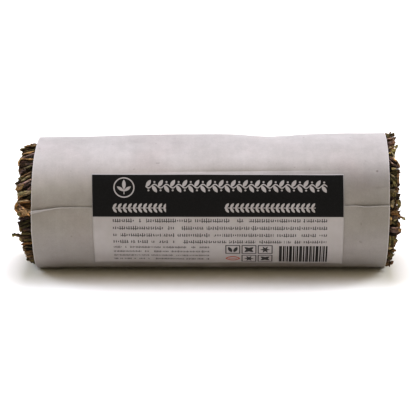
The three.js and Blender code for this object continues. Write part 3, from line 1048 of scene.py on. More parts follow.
class SageLeaves(bpy.types.PropertyGroup):
    thickness: a_length("Thickness", "Thickness of a pressed leaf", 0.5 * MM)
    wrinkle: a_length("Wrinkle", "Height of the wrinkles of a leaf", 0.2 * MM)
    shag: a_length("Shag", "How unevenly the cut ends stand out", 0.55 * MM)
    ragged_stems: a_length(
        "Ragged stems", "How unevenly leaves are cut at the stem end", 1.7 * MM
    )
    ragged_tips: a_length(
        "Ragged tips", "How unevenly leaves are cut at the leaf-tip end", 2.1 * MM
    )
    ripple: FloatVectorProperty(
        name="Ripple", description="Ripples of the leaves at either end, in shares of a stem",
        size=2, default=(0.03, 0.09),
    )
    shreds: IntProperty(
        name="Shreds", description="Torn shreds among the leaf tips of each stem", default=18
    )
    olive: a_colour("Olive", "Leaves that kept their green", (0.212, 0.178, 0.079))
    tan: a_colour("Tan", "Leaves dried to tan", (0.36, 0.235, 0.125))
    brown: a_colour("Brown", "Dark brown leaves", (0.13, 0.085, 0.05))
    plum: a_colour("Plum", "Purple-grey leaves", (0.2, 0.135, 0.125))
    grey_green: a_colour("Grey-green", "Pale downy leaves", (0.378, 0.316, 0.196))
    rust: a_colour("Rust", "Scorched rims and fibres", (0.36, 0.195, 0.082))
    bark: a_colour("Bark", "The skin of the woody stems", (0.17, 0.12, 0.075))
    pith: a_colour("Pith", "The cut face of the woody stems", (0.5, 0.4, 0.26))
    dust: a_colour("Dust", "Pale down and dust", (0.42, 0.38, 0.3))


def leaf_tints(sage, side):
    """The colours that leaves of an end have, the commonest ones more than once."""
    if side < 0:
        return [sage.tan, sage.brown, sage.olive, sage.tan, sage.plum, sage.brown, sage.olive]
    return [sage.olive, sage.plum, sage.grey_green, sage.brown, sage.olive, sage.tan, sage.plum]


def leaf(cell, key, side, sage, share, middle, width, lean, root, length, thick, bulge, curl):
    """A pressed leaf or a torn shred: a curved strip of the cell, wrinkled and ragged at its end.

    p runs from -1 to 1 across it and q from 0 to 1 along it. Across, it reaches about its width to
    each side, in shares of the cell, and leans from lying in its ring (0) to standing square to it
    (a right angle). It bulges outwards by bulge (1 - p²), curls by curl q³, and swirls round the
    stem.
    """
    rows, cols = (15, 9) if side < 0 else (19, 7)
    torn, wander = (0.6 * MM, 0.12) if side < 0 else (0.5 * MM, 0.5)
    q, p = np.meshgrid(np.linspace(0, 1, rows) ** 0.7, np.linspace(-1, 1, cols), indexing="ij")
    tear = 0.5 * noise(p * 1.3, key * 3.1, side) + 0.25 * noise(p * 3.1, key * 1.7, side + 5)
    end = np.minimum(length + torn * tear, HALF_LENGTH - 0.1 * MM)
    x = side * lerp(root, end, q)
    sway = 0.16 * noise(q * 2.2, key * 5.3, 3.0) + wander * (draw(key, 7, 1) - 0.5) * q
    half = width * (0.82 + 0.18 * noise(q * 2.4, key * 2.9, 7.0))
    flat, tall = p * half * np.cos(lean), p * half * np.sin(lean)
    fold = 0.05 * noise(p * 1.6 + 20, q * 2.6, key * 1.3) + 0.045 * noise(p * 3.4, q * 4, key * 2.1)
    out = share * lerp(0.84, 1, q) + tall + bulge * (1 - p * p) + curl * q**3 + fold
    ripple = sage.ripple[0 if side < 0 else 1] * smooth(q, 0.45, 0.85)
    out = out + ripple * np.sin(lerp(14, 34, draw(key, 8, 1)) * q + p + key)
    sway = sway + ripple * np.sin(lerp(14, 34, draw(key, 8, 2)) * q + 2 * key)
    angle = middle + flat / max(share, 0.2) + sway - side * SWIRL * q
    middle_face = in_cell(cell, np.clip(out, 0.02, 1.0), angle, x, sage.shag)
    normal = normals(middle_face)
    taper = (0.3 + 0.7 * np.sqrt(np.maximum(1 - p * p, 0))) * (1 - 0.25 * q)
    veins = 0.35 * np.cos(p * (5 + 4 * draw(key, 2, 9)) + 2 * q)
    faces = []
    for face in (1, -1):
        crinkle = noise(p * 3.2 + 10 * face, q * 6.5, key * 4.7) + veins
        height = thick * 0.5 * taper + sage.wrinkle * crinkle * (0.35 + 0.65 * taper)
        faces.append(middle_face + face * normal * np.maximum(height, 0.04 * MM)[..., None])
    points, quads = slab(*faces)
    tints = leaf_tints(sage, side)
    base = np.array(tints[int(draw(key, 3, 1) * len(tints))])
    base = base * lerp(0.25, 1.1, draw(key, 4, 2))
    rim = smooth(np.maximum(np.abs(p), q), 0.72, 1) * (0.45 * draw(key, 5, 3))
    tone = 1 + 0.3 * noise(p * 2.3, q * 3.7, key * 6.1)
    # Leaves deep inside the bundle are painted darker, down to about a third: painted shade in the
    # crevices between them, lighter again at their cut ends.
    far = np.linalg.norm(from_axis(middle_face, x), axis=-1) / bundle_radius(x)
    free_of_painted_shade = smooth(far, 0.87, 0.98)
    tone = tone * lerp(0.32, 1.0, np.maximum(free_of_painted_shade, 0.6 * smooth(q, 0.92, 1)))
    colours = lerp(base * tone[..., None], np.array(sage.rust), rim[..., None])
    return points, quads, np.concatenate([colours.reshape(-1, 3)] * 2)


def stalk(cell, key, side, sage, share, way, root, length, radius):
    """A woody stem: four-ridged, a little crooked, and cut askew to a pale pith."""
    steps, sides = 9, 12
    q = np.linspace(0, 1, steps)
    x = side * lerp(root, length, q)
    bend = 0.05 * noise(q * 2.2, key * 3.3, 1.0)
    path = in_cell(cell, share + bend, way - side * SWIRL * q * min(share * 2, 1), x, sage.shag)
    outwards = from_axis(path, path[0, 0]) + np.array((0, 0.3, 0.2)) * MM
    turn = 2 * np.pi * np.arange(sides) / sides
    ridges = 1 + 0.13 * np.cos(4 * turn)
    knots = 1 + 0.12 * noise(q * 5, key * 2.2, 4.0)
    around_it = radius * knots[:, None] * ridges * (1 + 0.07 * noise(turn, q[:, None] * 6, key))
    path = np.concatenate([path, path[-1:] + (side * 0.02 * MM, 0, 0)])
    ahead = np.concatenate([around_it, around_it[-1:] * 0.93])
    outwards = np.concatenate([outwards, outwards[-1:]])
    points, walls, caps = tube(path, outwards, ahead)
    askew = 0.35 * np.sin(key) * (points - path[-1])[:, 2]
    points[:, 0] += np.where(side * points[:, 0] > length - 0.6 * MM, askew, 0)
    colours = np.tile(np.array(sage.bark) * lerp(0.8, 1.6, draw(key, 6, 2)), (len(points), 1))
    colours[steps * sides : (steps + 1) * sides] = sage.pith
    colours[-1] = np.array(sage.pith) * 0.8
    return points, walls, colours, caps


def core(cell, sage):
    """What fills the cell inside the sleeve: a prism between two rough, dark faces."""
    sides = 28
    along = CORE_HALF * np.sin(np.pi * np.linspace(-0.5, 0.5, 15))
    shares = np.concatenate([[0.35, 0.7], np.full(len(along), 0.965), [0.7, 0.35]])
    x = np.concatenate([[-CORE_HALF] * 2, along, [CORE_HALF] * 2])
    angle = 2 * np.pi * np.arange(sides) / sides
    share, turn = np.meshgrid(shares, angle, indexing="ij")
    grid = in_cell(cell, share, turn, np.broadcast_to(x[:, None], share.shape))
    flat = share < 0.9
    grid[..., 0] += np.where(flat, 0.5 * MM * noise(grid[..., 1] / MM, grid[..., 2] / MM), 0)
    tips = in_cell(cell, np.zeros(2), np.zeros(2), np.array([-CORE_HALF, CORE_HALF]))
    rows = len(shares)
    at = np.arange(rows * sides).reshape(rows, sides)
    after = np.roll(at, -1, axis=1)
    walls = np.stack([at[:-1], after[:-1], after[1:], at[1:]], -1).reshape(-1, 4)
    points = np.concatenate([grid.reshape(-1, 3), tips])
    first, last = np.full(sides, rows * sides), np.full(sides, rows * sides + 1)
    caps = np.concatenate(
        [np.stack([first, after[0], at[0]], -1), np.stack([last, at[-1], after[-1]], -1)]
    )
    # Its colour, well under the darkest leaves', is painted shade for the inside of the bundle where it
    # shows between the leaves.
    return points, walls, np.array(sage.brown) * 0.6, caps


# Rings of leaves about each stem: how many, the share of the cell at which they lie, half their
# width, how far they lean at most, in degrees, their bulge, and their thickness as a share of the
# setting.
LEAF_RINGS = {
    -1: [(3, 0.4, 0.26, 35, 0.03, 0.9), (6, 0.64, 0.22, 30, 0.06, 1.1), (9, 0.87, 0.19, 22, 0.08, 1.4)],
    1: [(5, 0.3, 0.17, 70, 0.05, 0.6), (8, 0.58, 0.17, 65, 0.07, 0.6), (13, 0.84, 0.17, 55, 0.09, 0.7)],
}
# Woody stems at each end: the share of the cell, the radians past the last one and the radius.
STALKS = {
    -1: [(0.0, 0, 1.0 * MM), (0.5, 2.1, 0.45 * MM), (0.72, 2.6, 0.6 * MM), (0.55, 1.9, 0.35 * MM)],
    1: [(0.0, 0, 0.6 * MM), (0.5, 2.3, 0.3 * MM), (0.75, 2.2, 0.35 * MM)],
}
# Leaves and torn shreds that lie outermost at the ends, laid one by one where they show in the camera's
# frame: the control points of the curve along which one lies, each a column and a row of the frame and,
# where it isn't 0, the mm that it is lifted; its width in pixels; its colour, and how bright; the half
# angle of its arched section; how blunt its ends are; its mm over the bundle.
# The broad, dim strips that lie lowest are sheets of painted shade in the gaps between the lighter
# leaves.
LAID_LEAVES = [
    ([(37, 146.5, -0.6), (28, 146.2), (19.8, 149.6)], 5.4, "brown", 0.9, 75, 3, 0.6),
    ([(37, 144.9, -0.2), (30, 144.6), (24, 146)], 2.6, "tan", 0.75, 80, 5, 1.05),
    ([(37, 145.6, -0.4), (32, 145.2), (26, 146.2)], 1.8, "grey_green", 0.75, 80, 4, 0.75),
    ([(26, 147.2), (22.5, 148.3), (19.9, 149.5)], 2.0, "olive", 0.8, 60, 2.2, 0.8),
    ([(36.5, 149.5, -0.5), (24, 152.5)], 3.2, "brown", 0.5, 60, 6, 0.1),
    ([(36, 150.5, -0.4), (29, 151.5), (23, 154.2)], 2.1, "tan", 1.15, 85, 4, 0.6),
    ([(35.5, 152.6, -0.4), (28, 154.8), (20.5, 158.3)], 2.6, "plum", 1.35, 80, 4, 0.5),
    ([(34.5, 156.4, -0.4), (25, 157.2)], 1.8, "brown", 0.35, 60, 6, 0.2),
    ([(34.5, 159, -0.5), (26, 158.4), (20.5, 155.6), (17.2, 160.5), (19, 166.5)], 2.1, "tan", 1.35,
     85, 4, 0.6),
    ([(34, 161.5, -0.5), (18.3, 162.8)], 7.5, "brown", 0.55, 60, 7, 0.1),
    ([(33, 163.5, -0.4), (25, 163.5)], 2.6, "plum", 0.9, 80, 4, 0.3),
    ([(33, 165.2, -0.4), (28, 166.3), (24, 168)], 2.3, "grey_green", 0.75, 80, 4, 0.5),
    ([(32.5, 170.5, -0.5), (19.5, 171.5)], 7.5, "brown", 0.45, 60, 5, 0),
    ([(26, 169), (22, 170.5), (19.5, 174)], 3, "plum", 0.7, 80, 3, 0.4),
    ([(32, 171, -0.3), (27, 173.4), (21, 176.6)], 1.7, "tan", 0.75, 80, 4, 0.5),
    ([(31, 175.3, -0.3), (26, 177.8), (21, 180.6)], 3.0, "grey_green", 0.78, 85, 4, 0.5),
    ([(24, 176.5), (18, 179.5)], 3.0, "olive", 0.75, 80, 3, 0.3),
    ([(24, 180.2), (19, 181.8), (14.6, 184)], 2.6, "brown", 0.6, 70, 2.2, 0.4),
    ([(31.5, 179, -0.4), (25, 182.3), (17, 186.2)], 3.0, "plum", 1.9, 80, 4, 0.6),
    ([(31.5, 182.5, -0.3), (22, 187.3)], 3.0, "plum", 0.75, 75, 4, 0.4),
    ([(24, 184.8), (19, 186.5), (15.8, 190.5)], 5.2, "tan", 1.15, 80, 3, 0.5),
    ([(32, 188, -0.4), (22, 189)], 5.5, "brown", 0.22, 50, 6, 0),
    ([(32, 191.2, -0.3), (25, 193.2), (17, 194.5)], 5.0, "grey_green", 0.95, 85, 4, 0.5),
    ([(32, 196.8, -0.4), (22, 197)], 3.8, "brown", 0.2, 50, 6, 0.0),
    ([(23, 195.2), (18.6, 196.5), (18, 200)], 2.0, "tan", 0.9, 85, 4, 0.5),
    ([(32, 203.5, -0.5), (20, 205)], 9.5, "rust", 0.42, 60, 5, 0.1),
    ([(31.5, 201.6, -0.3), (24, 199.4), (14.2, 200.5), (13.6, 208.5), (18.5, 212.8)], 3.6, "rust",
     0.8, 85, 4, 0.7),
    ([(29, 200.4), (22, 199.6), (16.5, 203)], 1.3, "grey_green", 1.1, 85, 4, 1.25),
    ([(18, 203), (21, 206), (22, 210)], 1.5, "plum", 1.1, 80, 3, 0.9),
    ([(21, 206.5), (26, 210), (29.5, 216)], 2.4, "tan", 1.75, 80, 3, 0.8),
    ([(23.5, 207.5), (25, 211.5), (25.5, 214.5)], 1.5, "tan", 1.6, 80, 3, 0.9),
    ([(30.5, 210.5, -0.2), (27.5, 212), (23, 213.5)], 1.6, "tan", 1.5, 80, 3, 0.7),
    ([(17, 214.3), (21, 215.5)], 3.8, "olive", 1.1, 85, 2.2, 0.6),
    ([(18, 219), (24, 217.5), (30, 218, -0.3)], 3.4, "plum", 0.45, 75, 4, 0.3),
    ([(31, 223.5, -0.4), (20, 224)], 11, "brown", 0.42, 50, 5, 0),
    ([(30, 219.5, -0.2), (19.8, 225.5)], 2.6, "olive", 0.4, 80, 4, 0.3),
    ([(30.5, 224.5, -0.3), (20, 228.5)], 2.4, "olive", 0.5, 80, 4, 0.3),
    ([(30.5, 229, -0.3), (22.5, 229.5)], 3.2, "plum", 0.45, 75, 4, 0.2),
    ([(32, 234.2, -0.3), (21, 234)], 4.2, "olive", 0.65, 75, 6, 0.3),
    ([(32, 237.7, -0.3), (21, 236.3)], 1.6, "brown", 0.3, 80, 6, 0.5),
    ([(19.8, 238.4), (21.2, 242)], 3.2, "grey_green", 0.95, 85, 2.4, 0.5),
    ([(32.5, 240, -0.3), (24, 240.5)], 3.6, "olive", 0.7, 75, 5, 0.3),
    ([(33, 243.4, -0.3), (26, 244.2), (21, 245)], 2.7, "rust", 0.75, 80, 5, 0.4),
    ([(33, 246, -0.3), (23.5, 246.2)], 2.0, "brown", 0.25, 60, 6, 0.2),
    ([(33.5, 248, -0.3), (24.5, 247)], 2.0, "grey_green", 0.42, 80, 5, 0.4),
    ([(34, 250.5, -0.3), (24, 248.5)], 1.6, "brown", 0.25, 70, 6, 0.3),
    ([(34, 253, -0.3), (25, 252)], 3.8, "rust", 0.5, 80, 5, 0.3),
    ([(34.5, 256, -0.3), (25.5, 256.3)], 1.8, "tan", 1.0, 80, 4, 0.5),
    ([(36, 259, -0.3), (26.5, 260)], 5.0, "olive", 0.45, 60, 5, 0.1),
    ([(383, 138, -1.2), (389, 135.4), (394.5, 133.8)], 6.5, "brown", 0.75, 75, 5, 0.9),
    ([(383, 137, -1.6), (389, 134.6), (394.6, 133)], 2.0, "olive", 0.7, 75, 4, 1.2),
    ([(384, 140, -0.5), (392, 137), (396, 137)], 6.5, "rust", 0.42, 75, 5, 0.6),
    ([(384.5, 139, -0.4), (389, 138.3), (393.3, 137.4)], 1.7, "plum", 2.2, 85, 4, 0.8),
    ([(385, 142, -0.5), (395, 142)], 5.0, "plum", 0.9, 80, 5, 0.4),
    ([(394.5, 147.5), (397.4, 144.2)], 3.2, "olive", 1.0, 85, 2.6, 0.4),
    ([(386, 148.5, -0.5), (388.5, 146.5), (391.5, 147.2)], 3.6, "grey_green", 0.95, 85, 3, 0.6),
    ([(388, 151, -0.5), (396, 149.5)], 6.5, "olive", 0.9, 75, 4, 0.2),
    ([(387, 153.3, -0.3), (391, 152.2)], 2.2, "olive", 2.0, 85, 3, 0.7),
    ([(388, 155, -0.3), (393, 154)], 2.0, "brown", 0.25, 60, 4, 0.5),
    ([(391.5, 151.8), (393.5, 154), (395.3, 157)], 1.8, "grey_green", 1.0, 80, 3, 0.6),
    ([(387.5, 160, -0.5), (397.5, 163)], 7.5, "brown", 0.4, 60, 6, 0.1),
    ([(387.5, 156.8, -0.3), (392, 158.6), (397.6, 162.4)], 3.2, "plum", 0.95, 85, 4, 0.7),
    ([(392.5, 157.6), (395, 159), (397.3, 161)], 1.5, "tan", 1.5, 85, 4, 1.1),
    ([(389, 161.8, -0.3), (394, 164.5), (399.7, 167.2)], 3.0, "plum", 0.75, 85, 4, 0.6),
    ([(389.5, 161.4, -0.3), (391.5, 162.6), (394, 164)], 1.2, "plum", 1.8, 80, 4, 1.0),
    ([(396.5, 161.3), (398.6, 163.5), (399.6, 166.6)], 1.8, "tan", 0.9, 85, 3, 0.6),
    ([(391.5, 167.8), (396, 168.2)], 2.6, "grey_green", 1.05, 80, 3, 0.6),
    ([(388.5, 171, -0.5), (391, 169)], 5.5, "brown", 0.16, 50, 4, 0.2),
    ([(389, 173, -0.5), (398.5, 172)], 7.5, "olive", 0.5, 60, 5, 0.1),
    ([(397.6, 172.3), (399.3, 169.6)], 2.6, "rust", 0.45, 85, 2.4, 0.5),
    ([(388.7, 173.4, -0.3), (392, 175), (395, 178.4)], 2.4, "grey_green", 0.9, 85, 4, 0.6),
    ([(389, 177.5, -0.3), (393, 179.5)], 3.2, "olive", 0.75, 80, 4, 0.4),
    ([(389, 179, -0.5), (398.3, 180.5)], 9.5, "olive", 0.42, 60, 6, 0.05),
    ([(398, 173.5), (398.8, 178), (398.3, 184)], 2.2, "tan", 0.85, 85, 4, 0.4),
    ([(389, 182.5, -0.3), (391, 181.5)], 4.4, "brown", 0.16, 50, 3, 0.5),
    ([(391, 178.6), (394.5, 182.5), (396.5, 187.5)], 3.0, "olive", 1.1, 85, 4, 0.5),
    ([(389, 186.5, -0.3), (393, 185.5)], 3.4, "olive", 0.75, 80, 4, 0.4),
    ([(395.2, 189.8), (397.6, 187.2)], 3.8, "rust", 0.25, 80, 2.6, 0.7),
    ([(389.5, 190, -0.4), (396.3, 191)], 4.6, "grey_green", 0.85, 80, 5, 0.4),
    ([(389.5, 195, -0.4), (396, 194.6)], 6.0, "olive", 0.95, 75, 5, 0.3),
    ([(396, 194.6), (400.7, 194.5)], 2.6, "brown", 0.5, 80, 2.6, 0.3),
    ([(395.5, 198.3), (399.8, 198.4)], 2.4, "brown", 0.5, 80, 2.6, 0.3),
    ([(389.5, 203, -0.5), (395, 204)], 10, "brown", 0.3, 50, 5, 0.1),
    ([(393.6, 199.5), (392.6, 208)], 2.8, "grey_green", 1.05, 85, 4, 0.7),
    ([(391.3, 200.5), (391, 207)], 1.5, "grey_green", 0.7, 85, 4, 0.6),
    ([(398.3, 199.5), (399.6, 203), (399, 207.6)], 4.0, "olive", 1.2, 80, 3, 0.4),
    ([(396.5, 200), (396.3, 206)], 1.6, "rust", 0.55, 80, 4, 0.4),
    ([(395.3, 210.4), (396.9, 208.2)], 2.6, "rust", 0.25, 85, 2.6, 0.6),
    ([(388.5, 209.3, -0.4), (394, 209.5)], 2.6, "brown", 0.22, 60, 4, 0.3),
    ([(389, 212, -0.4), (398.2, 211.3)], 3.2, "tan", 0.8, 80, 4, 0.4),
    ([(389, 214.8, -0.4), (398.6, 214.3)], 2.6, "rust", 0.55, 80, 4, 0.3),
    ([(390.6, 216.5, -0.2), (391.3, 219.5), (390.4, 224)], 2.2, "tan", 1.25, 85, 3, 0.6),
    ([(391.5, 217.8), (398.2, 217)], 4.0, "plum", 0.7, 75, 4, 0.2),
    ([(391.5, 222, -0.3), (398.8, 222)], 6.5, "olive", 0.5, 70, 4, 0.1),
    ([(394, 221), (397, 219)], 2.2, "grey_green", 0.7, 80, 3, 0.5),
    ([(398, 222.5), (399.3, 227)], 3.0, "rust", 0.62, 80, 3, 0.4),
    ([(388.7, 230.6, -0.4), (394, 231.4), (400.9, 230.2)], 6.4, "plum", 0.62, 80, 4, 0.4),
    ([(389.5, 227.4, -0.3), (398.8, 227.3)], 1.4, "plum", 1.7, 85, 5, 1.0),
    ([(399.2, 228.5), (400.4, 231.6)], 2.2, "tan", 0.9, 80, 3, 0.8),
    ([(388.5, 235.5, -0.4), (396, 235)], 4.4, "brown", 0.3, 60, 4, 0.1),
    ([(390.3, 236, -0.2), (391, 241), (389.6, 246)], 2.6, "olive", 0.75, 80, 4, 0.5),
    ([(393.5, 236), (394, 241), (393.4, 246)], 2.8, "olive", 0.6, 80, 4, 0.4),
    ([(394.5, 241.5), (397.3, 240.2)], 3.8, "olive", 0.85, 80, 2.6, 0.5),
    ([(395, 238), (394.6, 246.5)], 2.0, "rust", 0.45, 80, 4, 0.4),
    ([(387.5, 249.4, -0.2), (392.6, 247.8)], 3.2, "grey_green", 1.05, 85, 4, 0.6),
    ([(391.5, 250.6), (396.3, 251)], 2.6, "rust", 0.7, 80, 2.4, 0.4),
    ([(387.5, 253, -0.3), (393.5, 252.7)], 4.6, "olive", 0.5, 70, 4, 0.2),
    ([(390.5, 257.6), (393.8, 254.4)], 3.0, "olive", 0.85, 80, 3, 0.5),
    ([(386.5, 258, -0.3), (389.5, 256)], 4.0, "olive", 0.75, 80, 4, 0.4),
    ([(385.5, 263.3, -0.3), (389, 260.5)], 4.5, "brown", 0.8, 70, 4, 0.3),
    ([(385, 262.5, -0.4), (391.8, 263.6)], 4.8, "olive", 0.5, 70, 5, 0.2),
    ([(388.6, 263.6), (392, 266), (392.8, 260.7)], 2.4, "rust", 0.55, 85, 3, 0.4),
    ([(31, 238.2, -0.4), (24, 236.8), (14.4, 235.3)], 3.6, "brown", 0.7, 88, 8, 0.5),
    ([(16.2, 234.4), (12.2, 236.6)], 3.6, "olive", 1.0, 88, 2.4, 0.6),
    ([(391, 211, -0.4), (398.6, 216), (404.6, 219.2)], 1.9, "rust", 0.6, 88, 8, 0.4),
    ([(402.6, 218.2), (405.2, 219.8)], 2.6, "grey_green", 0.8, 88, 2.2, 0.5),
    ([(403.2, 219.0), (405.3, 218.2)], 1.5, "grey_green", 0.7, 88, 2.2, 0.5),
]


def on_bundle(x, angle, above):
    """Points of the bundle's skin, raised by a height but kept inside the paper sleeve."""
    radius = bundle_radius(x) + above
    inside = plain_radius(x) - 0.5 * MM
    radius = np.where(x < SLEEVE_RIGHT + 0.2 * MM, np.minimum(radius, inside), radius)
    points = around(x, angle, radius)
    points[..., 2] -= sagged(x)
    return points


def seen_at(above, column, row, lift=0.0):
    """Where on the bundle a point of the frame is: its x, its degrees round and its height.

    For each whole degree, x is moved until the skin there shows in the column; of these, the
    degree that shows nearest to the row is the one.
    """
    height = (above + lift) * MM
    angle = np.arange(-84.0, 118.0)
    x = np.full_like(angle, (column - FRAME / 2) * PIXEL)
    for _ in range(4):
        shown, level = in_frame(on_bundle(x, angle, height))
        x = x + (column - shown) * PIXEL
    best = np.argmin(np.abs(level - row))
    return x[best], angle[best], height


def laid_leaf(key, spots, width, tint, bright, arch, blunt, above, sage):
    """An outermost leaf or shred: an arched strip along a Bézier curve of places on the bundle.

    t runs from 0 to 1 along the curve and p from -1 to 1 across the strip, whose section is the arc
    of a circle, convex outwards, of width w (1 - |2t - 1|^blunt)^1/2.
    """
    rows, cols = 24, 11
    share = 0.5 - 0.5 * np.cos(np.pi * np.linspace(0, 1, rows))
    t, p = np.meshgrid(share, np.linspace(-1, 1, cols), indexing="ij")
    places = [np.array(seen_at(above, *spot)) + np.zeros((rows, 1)) for spot in spots]
    while len(places) > 1:
        places = [lerp(a, b, share[:, None]) for a, b in zip(places, places[1:])]
    x, angle, height = places[0].T
    curve = on_bundle(x, angle, height)
    ahead = unit(np.gradient(curve, axis=0))
    up = from_axis(curve, x)
    up = unit(up - ahead * (up * ahead).sum(1, keepdims=True))
    across = np.cross(ahead, up)
    half = 0.5 * width * PIXEL * (1 - STEM_END_RADIUS / VIEW_DISTANCE)
    half = half * np.sqrt(np.maximum(1 - np.abs(2 * t - 1) ** (blunt + 1), 0.004))
    half = half * (1 + 0.3 * noise(t * 6, key * 3.1, 2 + np.sign(p)) + 0.15 * noise(t * 15, key, p))
    bend = math.radians(arch)
    sag = half * (np.cos(p * bend) - 1) / math.sin(bend)
    reach = half * np.sin(p * bend) / math.sin(bend)
    grain = noise(p * 2.6, t * 4.5, key * 1.9)
    sag = sag + sage.wrinkle * (0.7 * grain + 0.5 * noise(p * 5, t * 9, key)) * (half / (0.6 * MM))
    outer = curve[:, None] + reach[..., None] * across[:, None] + sag[..., None] * up[:, None]
    outer[..., 2] = np.maximum(outer[..., 2], 0.2 * MM)
    thin = np.minimum(0.14 * MM, half * 0.5)
    inner = outer - thin[..., None] * up[:, None]
    inner[..., 2] = np.maximum(inner[..., 2], 0.1 * MM)
    points, quads = slab(outer, inner)
    streaks = 0.45 * noise(p * 4, t * 2.5, key * 2.3) + 0.3 * noise(p * 8, t * 7, key * 1.7)
    # Each strip is painted lighter along its middle and darker at its sides: a painted highlight on its
    # arch and painted shade where it dips under its neighbours.
    tone = 0.85 * bright**1.2 * lerp(1.15, 0.5, np.abs(p) ** 4) * (1 + streaks)
    rim = 0.35 * draw(key, 4, 4) * smooth(np.abs(2 * t - 1), 0.8, 1)
    colours = np.array(getattr(sage, tint)) * tone[..., None]
    colours = lerp(colours, np.array(sage.rust) * bright, rim[..., None])
    return points, quads, np.concatenate([colours.reshape(-1, 3)] * 2)


def home(points, lows, highs):
    """The number of the leafy stem out of whose box in the frame a mesh stands the least."""
    over = np.maximum(lows - points.min(0), points.max(0) - highs)
    return int(np.argmin(over.max(axis=1)))


def leafy_stem(sprig, sage):
    """One leafy stem as a heap: its core, and at each end its stalks, leaves and shreds."""
    cell, heap = CELLS[sprig], Heap()
    points, walls, colours, caps = core(cell, sage)
    heap.add(points, walls, colours, caps)
    key = 100.0 * sprig
    for side in (-1, 1):
        for count, share, width, lean, bulge, thick in LEAF_RINGS[side]:
            ragged = sage.ragged_stems if side < 0 else sage.ragged_tips
            for k in range(count):
                key += 1
                middle = 2 * math.pi * (k + 0.3 * draw(key, 1, 1)) / count + sprig + share * 9
                heap.add(*leaf(
                    cell, key, side, sage,
                    share=share + 0.05 * (draw(key, 1, 2) - 0.5),
                    middle=middle,
                    width=width * lerp(0.75, 1.15, draw(key, 1, 3)),
                    lean=math.radians(lean) * (2 * draw(key, 1, 4) - 1),
                    root=LEAF_ROOT,
                    length=HALF_LENGTH - ragged * draw(key, 1, 5) ** 1.4,
                    thick=sage.thickness * thick * lerp(0.7, 1.2, draw(key, 1, 6)),
                    bulge=bulge * lerp(0.4, 1.3, draw(key, 1, 7)),
                    curl=0.12 * (draw(key, 1, 8) - 0.6),
                ))
        way = 2 * math.pi * draw(sprig, side, 11)
        for share, turn, radius in STALKS[side]:
            key += 1
            way += turn
            length = HALF_LENGTH - 1.4 * MM * draw(key, 2, 5)
            radius = radius * lerp(0.8, 1.2, draw(key, 2, 6))
            points, walls, colours, caps = stalk(
                cell, key, side, sage, share, way, LEAF_ROOT, length, radius
            )
            heap.add(points, walls, colours, caps)
        for _ in range(sage.shreds if side > 0 else sage.shreds // 4):
            key += 1
            heap.add(*leaf(
                cell, key, side, sage,
                share=lerp(0.3, 0.97, draw(key, 3, 2)),
                middle=2 * math.pi * draw(key, 3, 1),
                width=lerp(0.06, 0.14, draw(key, 3, 3)),
                lean=math.radians(90) * (2 * draw(key, 3, 4) - 1),
                root=FREE_HALF,
                length=HALF_LENGTH - 1.5 * MM * draw(key, 3, 5),
                thick=sage.thickness * 0.7,
                bulge=0.02,
                curl=0.25 * (draw(key, 3, 8) - 0.5),
            ))
    return heap


class SAGE_OT_leafy_stems(bpy.types.Operator):
    """Grow the leafy stems, each with its leaves, stalks and shreds at both cut ends"""

    bl_idname = "sage.leafy_stems"
    bl_label = "Leafy stems"

    def execute(self, context):
        sage = context.scene.sage_leaves
        material = dried_leaf(sage)
        laid = [laid_leaf(n + 0.5, *row, sage) for n, row in enumerate(LAID_LEAVES)]
        boxes = np.array([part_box(f"leafy_stem_{n + 1:02d}") for n in range(len(CELLS))])
        homes = [home(points, boxes[:, 0], boxes[:, 1]) for points, _, _ in laid]
        for sprig in range(len(CELLS)):
            number = f"{sprig + 1:02d}"
            heap = leafy_stem(sprig, sage)
            for at, mesh in zip(homes, laid):
                if at == sprig:
                    heap.add(*mesh)
            piece = heap.piece("sage_" + number, material)
            keep_place(piece, "leafy_stem_" + number)
        return {"FINISHED"}


# ---------------------------------------------------------------------------------------------
# The binding thread
# ---------------------------------------------------------------------------------------------

THREAD_INSET = 1.75 * MM  # of the thread's middle, in from the sleeve's outside
THREAD_HALF = 34.5 * MM
THREAD_TURNS = 3.5  # of each pass from end to end
THREAD_STEP = 1 * MM  # along, of the turn at either end
TAIL_START, TAIL_END = -THREAD_HALF - 1.6 * MM, -46.2 * MM
TAIL_ANGLE = 6
TAIL_RADIUS = STEM_END_RADIUS + 0.6 * MM


class SageThread(bpy.types.PropertyGroup):
    radius: a_length("Radius", "Radius of the twisted thread", 0.45 * MM)
    fibres: IntProperty(
        name="Fibres", description="Loose fibres at the frayed end", default=16
    )
    colour: a_colour("Colour", "The thread", (0.42, 0.28, 0.155))


def thread_path():
    """The thread's middle: out along the bundle as a helix, a turn, back as another, a turn, and
    the tail lengthwise to the stem end. Where the second helix crosses the first, it rides over."""
    run = 360 * THREAD_TURNS
    share, back_share = np.linspace(0, 1, 150), np.linspace(0, 1, 150)[1:]
    turn = np.linspace(0, 1, 44)[1:]
    over = 0.8 * MM * np.cos(np.pi * THREAD_TURNS * 2 * back_share) ** 8
    over = over * smooth(back_share, 0, 0.03) * (1 - smooth(back_share, 0.97, 1))
    stretches = [  # x, degrees and lift
        (lerp(-THREAD_HALF, THREAD_HALF, share), run * share, 0 * share),
        (THREAD_HALF + THREAD_STEP * turn, run + 360 * turn, 0 * turn),
        (
            lerp(THREAD_HALF + THREAD_STEP, -THREAD_HALF, back_share),
            run + 360 + run * back_share, over,
        ),
        (-THREAD_HALF - THREAD_STEP * turn, run + 360 + run + 360 * turn, 0 * turn),
    ]
    x, angle, lift = (np.concatenate(parts) for parts in zip(*stretches))
    wound = around(x, angle, plain_radius(x) - THREAD_INSET + lift)
    tail_x = np.linspace(TAIL_START, TAIL_END, 24)
    free = smooth(-tail_x, THREAD_HALF, SPREAD_HALF)
    tail_radius = lerp(plain_radius(tail_x) - THREAD_INSET, TAIL_RADIUS, free)
    return np.concatenate([wound, around(tail_x, TAIL_ANGLE * free, tail_radius)])


